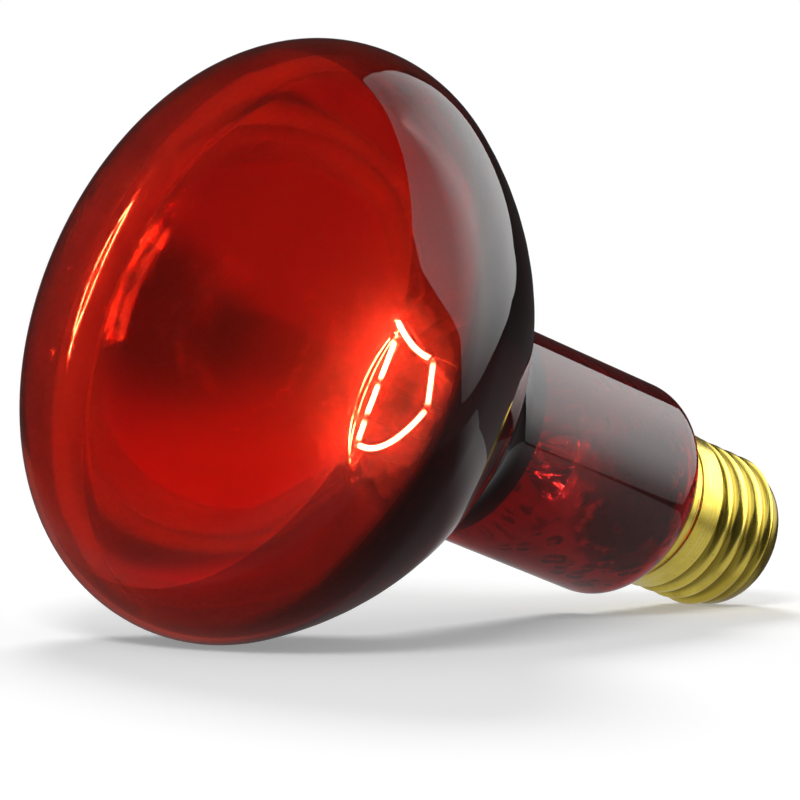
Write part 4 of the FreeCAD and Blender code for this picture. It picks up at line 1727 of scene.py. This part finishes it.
    def floor(self, height: float) -> None:
        """Makes the table under the lamp and the wide sheet round it, which reflections don't show.

        Args:
            height: where the lamp rests.
        """
        coat = painted("white_table", self.table_shader)
        near, far = (self.table_low, self.table_high), ((-self.reach,) * 2, (self.reach,) * 2)
        places = [(x, y, height) for (x0, y0), (x1, y1) in (near, far)
                  for x, y in ((x0, y0), (x1, y0), (x1, y1), (x0, y1))]
        self.staged("table", places[:4], [(0, 1, 2, 3)], coat)
        around_it = [(4 + i, 4 + (i + 1) % 4, (i + 1) % 4, i) for i in range(4)]
        self.staged("table_round", places, around_it, coat).visible_glossy = False

    def panel(self) -> None:
        """Makes the soft light panel, which only reflections show.

        Its points lie on a sphere round the lamp, in the directions between a middle direction and each
        corner: a fan of rings from the middle out. Its brightness is the product of two runs of straight
        lines, one over the azimuth and one over the elevation.
        """
        azimuth, rise = np.radians(np.array(self.panel_corners, float)).T
        edge = np.stack([np.sin(azimuth) * np.cos(rise), -np.cos(azimuth) * np.cos(rise), np.sin(rise)], 1)
        edge = np.concatenate([edge, edge[:1]])
        way = np.linspace(0, len(edge) - 1, self.panel_spokes, endpoint=False)
        edge = np.stack([np.interp(way, np.arange(len(edge)), edge[:, i]) for i in range(3)], 1)
        edge = (np.roll(edge, 1, 0) + 2 * edge + np.roll(edge, -1, 0)) / 4
        share = np.linspace(0, 1, self.panel_rings)[:, None, None]
        way = unit(unit(edge.mean(0)) * (1 - share) + edge[None] * share)
        places = (np.array(self.panel_middle) + self.panel_distance * way).reshape(-1, 3)
        turn = np.degrees(np.arctan2(way[..., 0], -way[..., 1]))
        level = (self.panel_glow * np.interp(turn, *zip(*self.panel_by_turn))
                 * np.interp(np.degrees(np.arcsin(way[..., 2])), *zip(*self.panel_by_rise)))
        faces = quads(np.arange(len(places)).reshape(self.panel_rings, self.panel_spokes))
        panel = self.staged("light_panel", places.tolist(), faces.tolist(),
                            painted("panel_light", lambda graph: graph.glow(graph.field("level"))),
                            {"level": level})
        panel.visible_camera = panel.visible_diffuse = False
        panel.visible_shadow = panel.visible_transmission = False

    def surroundings(self) -> None:
        """White to the eye, part lit through glass, dim in reflections, and a weak light on matt things."""
        world = bpy.data.worlds.new("studio")
        bpy.context.scene.world = world
        world.use_nodes = True
        graph = Graph(world.node_tree)
        seen, glossy, through = graph.rays()
        way = graph.coordinates("Generated")
        rise = graph.part(way, 2)
        ahead_level, base, room_level, high_level = self.world_levels
        room = graph.vector("DOT_PRODUCT", way, self.dark_way).rising(*self.room_edge) * room_level
        high = rise.rising(*self.high_edge) * high_level
        beside = graph.vector("DOT_PRODUCT", way, self.ahead).rising(*self.beside_edge)
        mirrored, below = self.world_mirror_levels
        strength = (seen + through * (beside * (room + high + base) + ahead_level)
                    + glossy * (1 - through) * (rise.rising(*self.below_edge) * below + mirrored)
                    + (1 - seen) * (1 - glossy) * (1 - through) * self.world_matt_level)
        white = {"Color": (1.0, 1.0, 1.0), "Strength": strength}
        graph.finish(graph.add("ShaderNodeBackground", None, white))

    def light(self, name: str, place: tuple, energy: float, **settings: float | str | tuple) -> None:
        """Makes a soft light that only matt surfaces take.

        Args:
            name: its name.
            place: its place; it is aimed at the lamp.
            energy: its power in watts.
            settings: a disc's size, or the softness and colour of a ball.
        """
        light = bpy.data.lights.new(name, "AREA" if "shape" in settings else "POINT")
        for key, value in {"energy": energy, **settings}.items():
            setattr(light, key, value)
        piece = placed(name, light)
        aim(piece, place, Vector(self.lamp_target) - Vector(place))
        piece.visible_glossy = piece.visible_transmission = piece.visible_camera = False

    def lights(self, axis: LampAxis) -> None:
        """Makes the two soft lamps, and the coil's glow on what stands near it.

        Args:
            axis: the lamp's axis.
        """
        for name, place, energy in self.lamps:
            self.light(name, place, energy, shape="DISK", size=self.lamp_size)
        for number, (side, up) in enumerate(self.glow_stations):
            place = tuple(axis.place(np.array([-up, -side, self.glow_u])))
            self.light(f"coil_glow_{number}", place, self.glow_energy, shadow_soft_size=self.glow_size,
                       color=self.glow_colour)

    def view(self) -> None:
        """Makes the camera."""
        lens = bpy.data.cameras.new("camera")
        lens.sensor_width, lens.lens = self.sensor, self.lens
        lens.clip_start, lens.clip_end = self.clip
        camera = placed("camera", lens)
        aim(camera, self.camera, Vector(self.forward))
        bpy.context.scene.camera = camera

    def build(self, floor: float, axis: LampAxis) -> None:
        """Makes the whole studio round the lamp.

        Args:
            floor: height at which the lamp rests.
            axis: the lamp's axis.
        """
        self.floor(floor)
        self.panel()
        self.surroundings()
        self.lights(axis)
        self.view()
        scene = bpy.context.scene
        scene.view_settings.view_transform = "Standard"
        scene.cycles.sample_clamp_indirect = self.highlight_limit
        scene.cycles.caustics_refractive = False


def main() -> None:
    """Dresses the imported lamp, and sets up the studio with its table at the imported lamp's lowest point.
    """
    logging.basicConfig(level=logging.INFO, format="%(name)s %(message)s")
    low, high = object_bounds()
    cap = ScrewCap()
    maker = Maker(LampAxis.of_record(frame["record"], (cap.core + cap.core_end) / 2))
    for assembly in (Bulb(), Stem(), FilamentMount(), cap):
        LOG.info("%s", type(assembly).__name__)
        assembly.build(maker)
    Studio().build(low[2], maker.axis)


if __name__ == "__main__":
    main()
